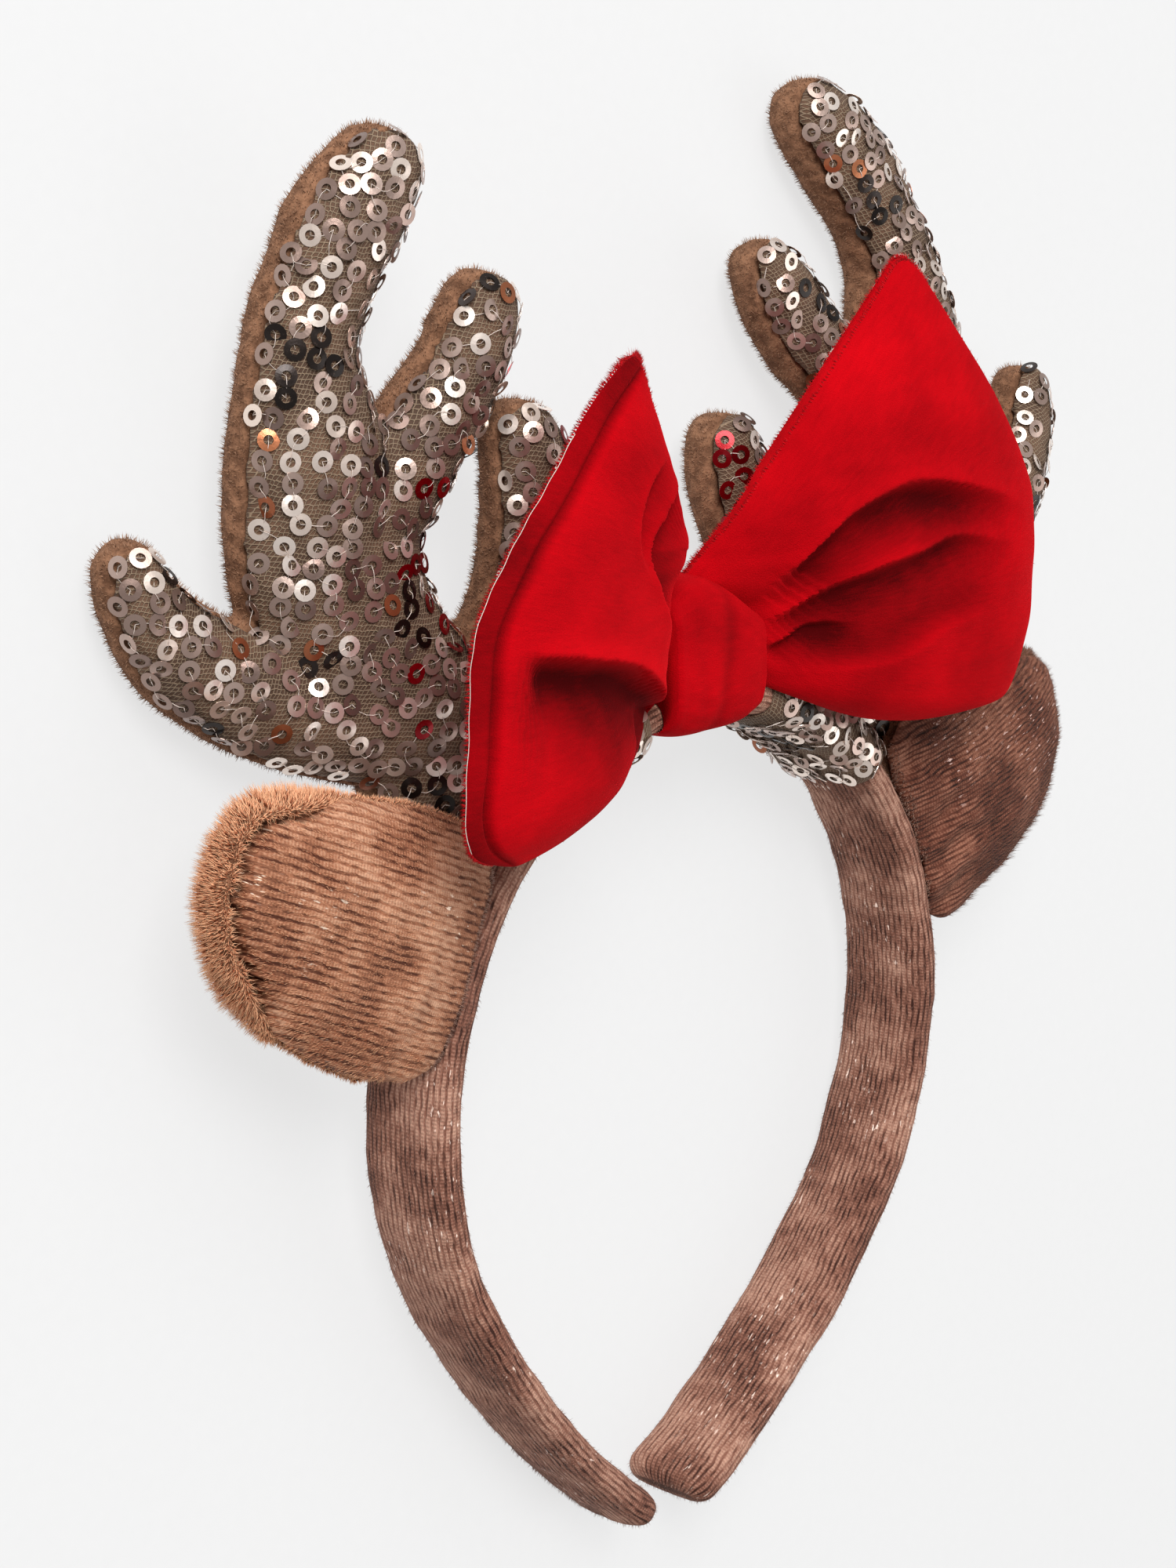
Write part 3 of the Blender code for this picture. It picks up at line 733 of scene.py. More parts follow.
@dataclass(frozen=True)
class Stuffing:
    """How a stuffed panel swells. Sizes in millimetres.

    Attributes:
        swell: The mean growth.
        broad: The height and the width of its broad lumps.
        fine: The same for its fine lumps.
        fill: How full it is. It is not used.
        voxel: The size of its faces.
        rounds: How often they are relaxed.
    """

    swell: float
    broad: tuple[float, float]
    fine: tuple[float, float]
    fill: float
    voxel: float = 0.9
    rounds: int = 6

    def relief(self, points: Array, unit_length: float, seed: int) -> Array:
        """The growth at each place: the mean plus lumps of both sizes.

        Args:
            points: Places.
            unit_length: One millimetre in their unit.
            seed: The seed of the broad lumps. The fine ones have the next one.

        Returns:
            The growth, in millimetres.
        """
        height, width = self.broad
        grown = self.swell + height * lumps(points, width * unit_length, seed)
        height, width = self.fine
        return grown + height * lumps(points, width * unit_length, seed + 1)

    def free(self, normals: Array, way: Array) -> Array:
        """How freely corners swell: fully where they face the way, and not at all at the seam."""
        return ramp(normals @ way, -0.3, 0.4)

    def finish(self, node: str, mesh: Mesh, points: Array, ways: Ways, cloth: tuple[Material, Slot]) -> None:
        """Moves a panel's corners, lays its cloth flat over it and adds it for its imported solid.

        A corner's place on the cloth is its distance across and along the piece.

        Args:
            node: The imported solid.
            mesh: The panel's mesh.
            points: Its corners' new places.
            ways: The piece's directions.
            cloth: The panel's material and the record's slot for it.
        """
        move_corners(mesh, points)
        flat = ways.flat(coordinates(mesh))
        corners = np.empty(len(mesh.loops), np.int32)
        mesh.loops.foreach_get("vertex_index", corners)
        layer = mesh.uv_layers.new(name="Cloth")
        layer.data.foreach_set("uv", flat[corners].astype(np.float32).ravel())
        piece = add_object(f"{node}_panel", mesh, *cloth)
        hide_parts(node)


# Materials

Operand = Union["Value", float]


def tint(colour: Colour, share: float, added: float = 0.0) -> Colour:
    """A lighter or darker colour: each part times the share plus what is added, up to 1."""
    return tuple(min(1.0, part * share + added) for part in colour)


@dataclass(frozen=True)
class Value:
    """A number in a material, so that arithmetic on it adds Math nodes."""

    recipe: "Recipe"
    socket: NodeSocket

    def math(self, operation: str, *others: Operand, swapped: bool = False) -> "Value":
        """Adds a Math node.

        Args:
            operation: Blender's name of it.
            others: The other operands.
            swapped: Whether this value comes second.

        Returns:
            The result.
        """
        operands = [self, *others]
        if swapped:
            operands.reverse()
        inputs = dict(enumerate(operands))
        return self.recipe.value(self.recipe.node("ShaderNodeMath", {"operation": operation}, inputs))

    def __add__(self, other: Operand) -> "Value":
        """The sum."""
        return self.math("ADD", other)

    __radd__ = __add__

    def __sub__(self, other: Operand) -> "Value":
        """The difference."""
        return self.math("SUBTRACT", other)

    def __rsub__(self, other: Operand) -> "Value":
        """The difference, with this value taken away."""
        return self.math("SUBTRACT", other, swapped=True)

    def __mul__(self, other: Operand) -> "Value":
        """The product."""
        return self.math("MULTIPLY", other)

    __rmul__ = __mul__

    def sine(self) -> "Value":
        """The sine."""
        return self.math("SINE")

    def between(self, low: float, high: float) -> "Value":
        """A smooth step of this value, from 0 at low to 1 at high.

        Args:
            low: Where it starts to rise.
            high: Where it is full.

        Returns:
            The step.
        """
        settings = {"interpolation_type": "SMOOTHSTEP", "clamp": True}
        inputs = {"Value": self, "From Min": low, "From Max": high}
        return self.recipe.value(self.recipe.node("ShaderNodeMapRange", settings, inputs))


class Recipe:
    """A material under construction."""

    def __init__(self, name: str) -> None:
        """Starts a material with nothing but its output.

        Args:
            name: The material's name.
        """
        self.material = bpy.data.materials.new(name)
        self.material.use_nodes = True
        self.tree = self.material.node_tree
        self.tree.nodes.clear()
        self.output = self.tree.nodes.new("ShaderNodeOutputMaterial")

    def node(self, kind: str, settings: dict[str, object], inputs: dict[object, object]) -> Node:
        """Adds a node.

        Args:
            kind: Blender's name of its type.
            settings: Its own settings. stops fills a colour ramp.
            inputs: For each socket's name or number, a value, a Value or an output socket.

        Returns:
            The node.
        """
        made = self.tree.nodes.new(kind)
        for name, setting in settings.items():
            if name == "stops":
                self._fill_ramp(made, setting)
            else:
                setattr(made, name, setting)
        for key, given in inputs.items():
            source = given.socket if isinstance(given, Value) else given
            if isinstance(source, NodeSocket):
                self.tree.links.new(source, made.inputs[key])
            else:
                made.inputs[key].default_value = source
        return made

    @staticmethod
    def _fill_ramp(made: Node, stops: Sequence[tuple[float, Colour]]) -> None:
        """Sets a colour ramp's stops.

        Args:
            made: The colour ramp.
            stops: Positions from 0 to 1 with their colours.
        """
        elements = made.color_ramp.elements
        while len(elements) < len(stops):
            elements.new(0.5)
        for element, (position, colour) in zip(elements, stops):
            element.position = position
            element.color = (*colour, 1.0)

    def value(self, made: Node, output: Union[int, str] = 0) -> Value:
        """One output of a node as a Value."""
        return Value(self, made.outputs[output])

    def cloth(self) -> tuple[Value, Value]:
        """Reads the place on the cloth.

        Returns:
            The distances across and along the ribs, in metres.
        """
        place = self.node("ShaderNodeUVMap", {"uv_map": "Cloth"}, {}).outputs["UV"]
        split = self.node("ShaderNodeSeparateXYZ", {}, {"Vector": place})
        return self.value(split, "X"), self.value(split, "Y")

    def place(self) -> NodeSocket:
        """The place on the object."""
        return self.node("ShaderNodeTexCoord", {}, {}).outputs["Object"]

    def vector(self, x: Operand, y: Operand, z: Operand = 0.0) -> NodeSocket:
        """Three numbers as one vector."""
        return self.node("ShaderNodeCombineXYZ", {}, {"X": x, "Y": y, "Z": z}).outputs["Vector"]

    def noise(self, where: NodeSocket, scale: float, detail: float = 2.0) -> Value:
        """Soft noise from 0 to 1, with scale lumps in a metre."""
        inputs = {"Vector": where, "Scale": scale, "Detail": detail}
        return self.value(self.node("ShaderNodeTexNoise", {}, inputs), "Fac")

    def cells(self, where: NodeSocket, scale: float) -> Value:
        """The distance to the nearest border of a net of nearly even cells.

        Args:
            where: The place.
            scale: Cells in one unit of the place.

        Returns:
            The distance, as a share of a cell.
        """
        settings = {"feature": "DISTANCE_TO_EDGE", "voronoi_dimensions": "2D"}
        inputs = {"Vector": where, "Scale": scale, "Randomness": 0.3}
        return self.value(self.node("ShaderNodeTexVoronoi", settings, inputs), "Distance")

    def attribute(self, name: str) -> Value:
        """A number that the mesh carries."""
        return self.value(self.node("ShaderNodeAttribute", {"attribute_name": name}, {}), "Fac")

    def blend(self, factor: Operand, first: object, second: object) -> NodeSocket:
        """A mix of two colours.

        Args:
            factor: The share of the second one.
            first: A colour or a socket.
            second: A colour or a socket.

        Returns:
            The mixed colour's socket.
        """
        colours = [(*item, 1.0) if isinstance(item, tuple) else item for item in (first, second)]
        inputs = {"Factor": factor, 6: colours[0], 7: colours[1]}
        return self.node("ShaderNodeMix", {"data_type": "RGBA"}, inputs).outputs[2]

    def stops(self, factor: Value, stops: Sequence[tuple[float, Colour]]) -> NodeSocket:
        """A colour ramp read at a value."""
        return self.node("ShaderNodeValToRGB", {"stops": stops}, {"Fac": factor}).outputs["Color"]

    def relief(self, height: Value, distance: float) -> NodeSocket:
        """A normal bent by a height, whose 1 stands for the distance in metres."""
        inputs = {"Height": height, "Distance": distance, "Strength": 1.0}
        return self.node("ShaderNodeBump", {}, inputs).outputs["Normal"]

    def finish(self, inputs: dict[object, object]) -> Material:
        """Ends the material in a Principled shader.

        Args:
            inputs: For each of its sockets, a value, a Value or an output socket.

        Returns:
            The material.
        """
        shader = self.node("ShaderNodeBsdfPrincipled", {}, inputs)
        self.tree.links.new(shader.outputs["BSDF"], self.output.inputs["Surface"])
        return self.material


@dataclass(frozen=True)
class RibbedVelvet:
    """Brown crushed velvet: fine ribs along its length, with painted shade in the grooves, painted glints and
    painted sheen in lighter and darker patches.

    Attributes:
        deep: Its colour in the grooves, which are painted darker as shade.
        middle: Its mean colour.
        bright: Its colour where painted sheen lights the pile; the painted glints are lighter still.
        pitch: The distance between ribs, in millimetres.
        groove_shade: How much shade is painted into the grooves.
        weave: The length of the weave along a rib, in millimetres.
        sheen: How much light glances off the pile.
        relief: How high the ribs stand, in millimetres.
    """

    name: str
    deep: Colour
    middle: Colour
    bright: Colour
    pitch: float = 1.15
    groove_shade: float = 0.29
    weave: float = 0.62
    sheen: float = 0.08
    relief: float = 0.30

    def dress(self) -> Material:
        """Builds the material.

        Each rib is a sine across the cloth, its edge waved by noise. The low parts of the sine are
        narrow grooves, painted darker as shade, broken into dashes by noise stretched along them, and
        a finer sine along the cloth is the weave. Broad patches paint sheen lighter and darker. The few
        highest of another such noise are painted glints, highlights which keep to wider patches.

        Returns:
            The material.
        """
        recipe = Recipe(self.name)
        across, along = recipe.cloth()
        place = recipe.place()
        wander = (recipe.noise(place, 90.0) - 0.5) * (1.5 * MM)
        wander = wander + (recipe.noise(place, 420.0) - 0.5) * (0.6 * MM)
        rib = ((across + wander) * (2 * math.pi / (self.pitch * MM))).sine() * 0.5 + 0.5
        weave = ((along + wander * 0.6) * (2 * math.pi / (self.weave * MM))).sine() * 0.5 + 0.5
        dashes = recipe.noise(recipe.vector(across * 1900.0, along * 430.0), 1.0, 3.0).between(0.32, 0.68)
        grain = recipe.noise(recipe.vector(across * 4200.0, along * 2200.0), 1.0)
        crushed = recipe.noise(place, 62.0, 3.0)
        patches = recipe.noise(place, 170.0, 4.0)
        ridge = rib.between(0.04, 0.55)
        breaks = recipe.noise(recipe.vector(across * 800.0, along * 240.0, 7.0), 1.0).between(0.35, 0.65)
        groove = (1 - ridge) * (0.25 + breaks * 0.75)
        # Painted shade: the grooves between the ribs are darkened here.
        tone = dashes * 0.26 + weave * ridge * 0.17 + grain * 0.30 - groove * self.groove_shade
        # Painted sheen: broad patches make the velvet lighter and darker.
        tone = tone + crushed.between(0.38, 0.62) * 0.32 + patches * 0.42 - 0.14
        colour = recipe.stops(tone, ((0.10, self.deep), (0.48, self.middle), (0.90, self.bright)))
        # Painted highlights: the glints are bright streaks of colour, where the roughness also drops.
        glint = recipe.noise(recipe.vector(across * 1500.0, along * 420.0, 3.0), 1.0).between(0.63, 0.70)
        glint = glint * recipe.noise(place, 48.0).between(0.50, 0.62)
        colour = recipe.blend(glint * 0.9, colour, tint(self.bright, 1.5, 0.35))
        height = 0.5 - groove * 0.5 + weave * ridge * 0.22 + dashes * 0.4 + grain * 0.35
        normal = recipe.relief(height, self.relief * MM)
        return recipe.finish(
            {
                "Base Color": colour,
                "Roughness": 0.78 - glint * 0.45,
                "Normal": normal,
                "Sheen Weight": self.sheen,
                "Sheen Roughness": 0.45,
                "Sheen Tint": (*self.bright, 1.0),
                "Specular IOR Level": 0.25,
            }
        )


@dataclass(frozen=True)
class RedVelvet:
    """Red velvet: short dense pile, with painted shade in the folds and painted light and shade in soft
    patches.
    """

    name: str
    # deep is the colour of the painted shade in the folds; the patches paint between it and bright as light
    # and shade.
    deep: Colour = (0.060, 0.0, 0.0006)
    middle: Colour = (0.27, 0.0, 0.0022)
    bright: Colour = (0.50, 0.0004, 0.004)

    def dress(self) -> Material:
        """Builds the material from painted soft patches of light and shade, a fine grain and painted shade
        from the mesh's fold depth.

        Returns:
            The material.
        """
        recipe = Recipe(self.name)
        across, along = recipe.cloth()
        place = recipe.place()
        patches = recipe.noise(place, 55.0, 3.0)
        brushed = recipe.noise(recipe.vector(across * 1500.0, along * 260.0), 1.0)
        grain = recipe.noise(place, 4200.0)
        # Painted shade: the folds' depth darkens the colour, and the soft patches paint light and shade.
        tone = patches * 0.72 + brushed * 0.2 + grain * 0.22 - recipe.attribute("depth") * 0.95
        colour = recipe.stops(tone, ((0.0, self.deep), (0.4, self.middle), (0.78, self.bright)))
        normal = recipe.relief(grain * 0.8 + brushed * 0.2, 0.16 * MM)
        return recipe.finish(
            {
                "Base Color": colour,
                "Roughness": 0.95,
                "Normal": normal,
                "Sheen Weight": 0.36,
                "Sheen Roughness": 0.30,
                "Sheen Tint": (0.95, 0.008, 0.016, 1.0),
                "Specular IOR Level": 0.06,
            }
        )


@dataclass(frozen=True)
class NetCloth:
    """A khaki net of small six-sided holes drawn over brown cloth."""

    name: str
    thread: Colour = (0.235, 0.165, 0.108)
    cloth: Colour = (0.060, 0.031, 0.018)

    def dress(self) -> Material:
        """Builds the material: threads follow the borders of slanted cells in regular rows.

        Returns:
            The material.
        """
        recipe = Recipe(self.name)
        across, along = recipe.cloth()
        place = recipe.place()
        sway = (recipe.noise(place, 240.0) - 0.5) * (1.1 * MM)
        slanted = recipe.vector((across + sway) * 1500.0 + along * 620.0, (along - sway) * 1240.0)
        border = recipe.cells(slanted, 1.0)
        thread = 1.0 - border.between(0.06, 0.20)
        patches = recipe.noise(place, 110.0, 3.0)
        grain = recipe.noise(place, 2600.0)
        lit = recipe.blend(grain * 0.8 + patches * 0.3, tint(self.thread, 0.62), tint(self.thread, 1.5))
        under = recipe.blend(patches.between(0.3, 0.75), self.cloth, tint(self.cloth, 2.3))
        normal = recipe.relief(thread + grain * 0.2, 0.22 * MM)
        return recipe.finish(
            {
                "Base Color": recipe.blend(thread * 0.85, under, lit),
                "Roughness": 0.72,
                "Normal": normal,
                "Sheen Weight": 0.04,
                "Specular IOR Level": 0.25,
            }
        )


@dataclass(frozen=True)
class Plush:
    """Short brown plush cloth, under its hairs."""

    name: str
    deep: Colour = (0.050, 0.019, 0.009)
    bright: Colour = (0.34, 0.17, 0.095)

    def dress(self) -> Material:
        """Builds the material from clumps of pile and a fine grain.

        Returns:
            The material.
        """
        recipe = Recipe(self.name)
        place = recipe.place()
        clumps = recipe.noise(place, 420.0, 3.0).between(0.3, 0.7)
        grain = recipe.noise(place, 2400.0, 3.0)
        colour = recipe.blend(clumps * 0.5 + grain * 0.5, self.deep, self.bright)
        return recipe.finish(
            {
                "Base Color": colour,
                "Roughness": 0.92,
                "Normal": recipe.relief(clumps * 0.6 + grain * 0.5, 0.5 * MM),
                "Sheen Weight": 0.08,
                "Sheen Roughness": 0.5,
                "Sheen Tint": (0.9, 0.5, 0.3, 1.0),
                "Specular IOR Level": 0.15,
            }
        )


@dataclass(frozen=True)
class Hair:
    """Hairs of pile: each has its own shade between two colours.

    Attributes:
        fade: How much of the way between the colours a hair goes from foot to tip.
    """

    name: str
    deep: Colour
    bright: Colour
    roughness: float = 0.6
    fade: float = 0.0

    def dress(self) -> Material:
        """Builds the material from the hairs' own shades.

        Returns:
            The material.
        """
        recipe = Recipe(self.name)
        tone = recipe.attribute("shade") * 0.7 + recipe.noise(recipe.place(), 180.0) * 0.4
        if self.fade:
            tone = tone + (recipe.attribute("along") - 0.5) * self.fade
        return recipe.finish(
            {
                "Base Color": recipe.blend(tone, self.deep, self.bright),
                "Roughness": self.roughness,
                "Specular IOR Level": 0.25,
            }
        )


@dataclass(frozen=True)
class SequinFoil:
    """Rose copper foil, which mirrors what is round it.

    Most rings are taupe to pink. Their colour also paints reflections: some are cream for the lamps,
    some nearly black for dark surroundings, those that face the bow deep red, and a few orange for the plush.

    Attributes:
        tones: The foil's colours along a ring's tone; the cream, nearly black, red and orange stops are
            painted reflections.
        worn: Its colour where it is rubbed.
    """

    name: str
    # Stops at 0 and 0.13 are painted reflections of dark surroundings, 0.80 and 0.90 of the lamps, 0.92 and
    # 0.96 of the bow, 0.97 and 1.0 of the plush.
    tones: tuple[tuple[float, Colour], ...] = (
        (0.0, (0.012, 0.008, 0.006)),
        (0.13, (0.03, 0.02, 0.017)),
        (0.20, (0.19, 0.125, 0.105)),
        (0.45, (0.34, 0.235, 0.195)),
        (0.72, (0.56, 0.42, 0.36)),
        (0.80, (0.80, 0.66, 0.57)),
        (0.90, (0.98, 0.87, 0.79)),
        (0.92, (0.13, 0.0, 0.002)),
        (0.96, (0.40, 0.002, 0.010)),
        (0.97, (0.20, 0.05, 0.018)),
        (1.0, (0.52, 0.19, 0.085)),
    )
    worn: Colour = (0.25, 0.16, 0.13)

    def dress(self) -> Material:
        """Builds the material from each ring's tone, which carries painted reflections, with faint wear on
        its face.

        Returns:
            The material.
        """
        recipe = Recipe(self.name)
        wear = recipe.noise(recipe.place(), 1500.0, 3.0)
        # The ring's tone picks its foil colour or a painted reflection.
        colour = recipe.stops(recipe.attribute("tone"), self.tones)
        return recipe.finish(
            {
                "Base Color": recipe.blend(wear.between(0.62, 0.8) * 0.3, colour, self.worn),
                "Metallic": 0.8,
                "Roughness": 0.24 + wear * 0.16,
                "Normal": recipe.relief(wear, 0.03 * MM),
                "Coat Weight": 0.2,
                "Coat Roughness": 0.12,
            }
        )


@dataclass(frozen=True)
class Thread:
    """Clear pale sewing thread, twisted."""

    name: str
    colour: Colour = (0.62, 0.52, 0.46)

    def dress(self) -> Material:
        """Builds the material with a fine variation along the thread.

        Returns:
            The material.
        """
        recipe = Recipe(self.name)
        twist = recipe.noise(recipe.place(), 3000.0)
        colour = recipe.blend(twist, tint(self.colour, 0.6), tint(self.colour, 1.35))
        return recipe.finish({"Base Color": colour, "Roughness": 0.3, "Specular IOR Level": 0.6})


@dataclass(frozen=True)
class Palette:
    """Every finish of the object, built once."""

    band: Material
    ear_left: Material
    ear_right: Material
    red: Material
    red_hair: Material
    net: Material
    plush: Material
    plush_hair: Material
    dark_hair: Material
    ginger_hair: Material
    band_hair: Material
    foil: Material
    thread: Material

    @classmethod
    def mix(cls) -> "Palette":
        """Builds the finishes.

        Returns:
            All of them.
        """
        # Each velvet's colours run deep, middle, bright: deep carries the painted shade in the grooves,
        # bright the painted sheen and glints.
        brown = ((0.040, 0.011, 0.006), (0.225, 0.092, 0.060), (0.50, 0.28, 0.20))
        light = ((0.075, 0.020, 0.009), (0.31, 0.125, 0.065), (0.56, 0.31, 0.195))
        dark = ((0.018, 0.0045, 0.0025), (0.112, 0.031, 0.016), (0.31, 0.13, 0.08))
        return cls(
            band=RibbedVelvet("band_velvet", *brown).dress(),
            ear_left=RibbedVelvet("ear_velvet_light", *light, pitch=1.35, groove_shade=0.36).dress(),
            ear_right=RibbedVelvet("ear_velvet_dark", *dark, pitch=1.0, groove_shade=0.30).dress(),
            red=RedVelvet("bow_velvet").dress(),
            red_hair=Hair("bow_pile", (0.26, 0.0, 0.002), (0.62, 0.0008, 0.006), 0.9).dress(),
            net=NetCloth("sequin_net").dress(),
            plush=Plush("antler_plush").dress(),
            plush_hair=Hair("antler_pile", (0.080, 0.031, 0.015), (0.46, 0.255, 0.155)).dress(),
            dark_hair=Hair("ear_pile_dark", (0.040, 0.012, 0.006), (0.30, 0.135, 0.085)).dress(),
            ginger_hair=Hair("ear_pile_light", (0.34, 0.060, 0.012), (1.0, 0.57, 0.33), fade=0.9).dress(),
            band_hair=Hair("band_pile", (0.08, 0.028, 0.018), (0.46, 0.27, 0.20), 0.4).dress(),
            foil=SequinFoil("sequin_foil").dress(),
            thread=Thread("sewing_thread").dress(),
        )


# Pieces


def band_rings(arcs: Array, angles: Array, margin: float, taper: bool) -> Array:
    """The band's rounded sections, grown by a margin.

    Args:
        arcs: Signed distances from the top, in millimetres.
        angles: Angles round each section.
        margin: The growth, in millimetres.
        taper: Whether the sections shrink at the free ends by a quarter circle.

    Returns:
        Rings by points round, in millimetres in the band's frame.
    """
    line = BandLine.at(arcs)
    across, through = superellipse(angles, BAND_SQUARENESS)
    inset = np.zeros(len(arcs))
    if taper:
        short = np.clip(TIP_ROUNDING - (half_band_length() - np.abs(arcs)), 0.0, TIP_ROUNDING)
        inset = TIP_ROUNDING - np.sqrt(TIP_ROUNDING**2 - short**2)
    half_width = (BAND_WIDTH / 2 + margin - inset)[:, None]
    half_depth = (BAND_THICKNESS / 2 + margin - inset)[:, None]
    rings = line.points[:, None, :] + (through * half_depth)[..., None] * line.outward[:, None, :]
    rings[..., 2] += across * half_width
    return rings


@dataclass
class Band:
    """The padded velvet band.

    Attributes:
        stations: Rings along the band.
        sides: Points round a ring.
        hairs: How many stray hairs stand on it.
        stuffing: How it swells.
    """

    base: BandFrame
    palette: Palette
    stations: int = 460
    sides: int = 72
    hairs: int = 26000
    stuffing: Stuffing = Stuffing(-0.05, (0.26, 14.0), (0.10, 5.0), 0.8)

    def build(self) -> None:
        """Builds the band and its stray hairs."""
        end = half_band_length()
        tip = end - TIP_ROUNDING * (1 - np.sin(np.linspace(0.1, np.pi / 2, 10)))
        body = np.linspace(-(end - TIP_ROUNDING), end - TIP_ROUNDING, self.stations)
        arcs = np.concatenate([-tip[::-1], body, tip])
        rings = band_rings(arcs, circle(self.sides), 0.0, True)
        soft = self.stuffing.relief(rings.reshape(-1, 3), 1.0, 3).reshape(rings.shape[:2])
        away = unit(rings - rings.mean(axis=1, keepdims=True), 1e-6)
        mesh = tube("headband_velvet", self.base, rings + away * soft[..., None])
        piece = add_object("headband_velvet", mesh, self.palette.band, Slot.BROWN)
        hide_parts("headband")
        lie = self.base.turn(np.array([0.0, -0.9, 0.0]))
        pile = Pile(self.palette.band_hair, Slot.BROWN, 0.8, 0.10)
        pile.grow("headband_pile", scatter(mesh, self.hairs, 21), lie, 22)


@dataclass(frozen=True)
class Ring:
    """One sequin: a thin ring, a little dished. Sizes in millimetres."""

    hole: float = 0.80
    rim: float = 1.80
    foil: float = 0.08
    dish: float = 0.10
    sides: int = 16

    def template(self) -> tuple[Array, Array]:
        """The ring's corners and faces.

        The profile runs from the top of the hole out to the rim, down, and back under, and is
        turned round the axis.

        Returns:
            Points in metres and the faces' corner numbers.
        """
        turn = circle(self.sides)
        radius = np.array([self.hole, self.rim, self.rim, self.hole])
        height = np.array([self.foil, self.foil - self.dish, -self.dish, 0.0])
        flat = np.stack([np.cos(turn), np.sin(turn)], axis=-1)[:, None, :] * radius[None, :, None]
        level = np.broadcast_to(height, flat.shape[:2])[..., None]
        faces, _ = grid_faces(self.sides, len(radius), True, True)
        return np.concatenate([flat, level], axis=-1).reshape(-1, 3) * MM, faces


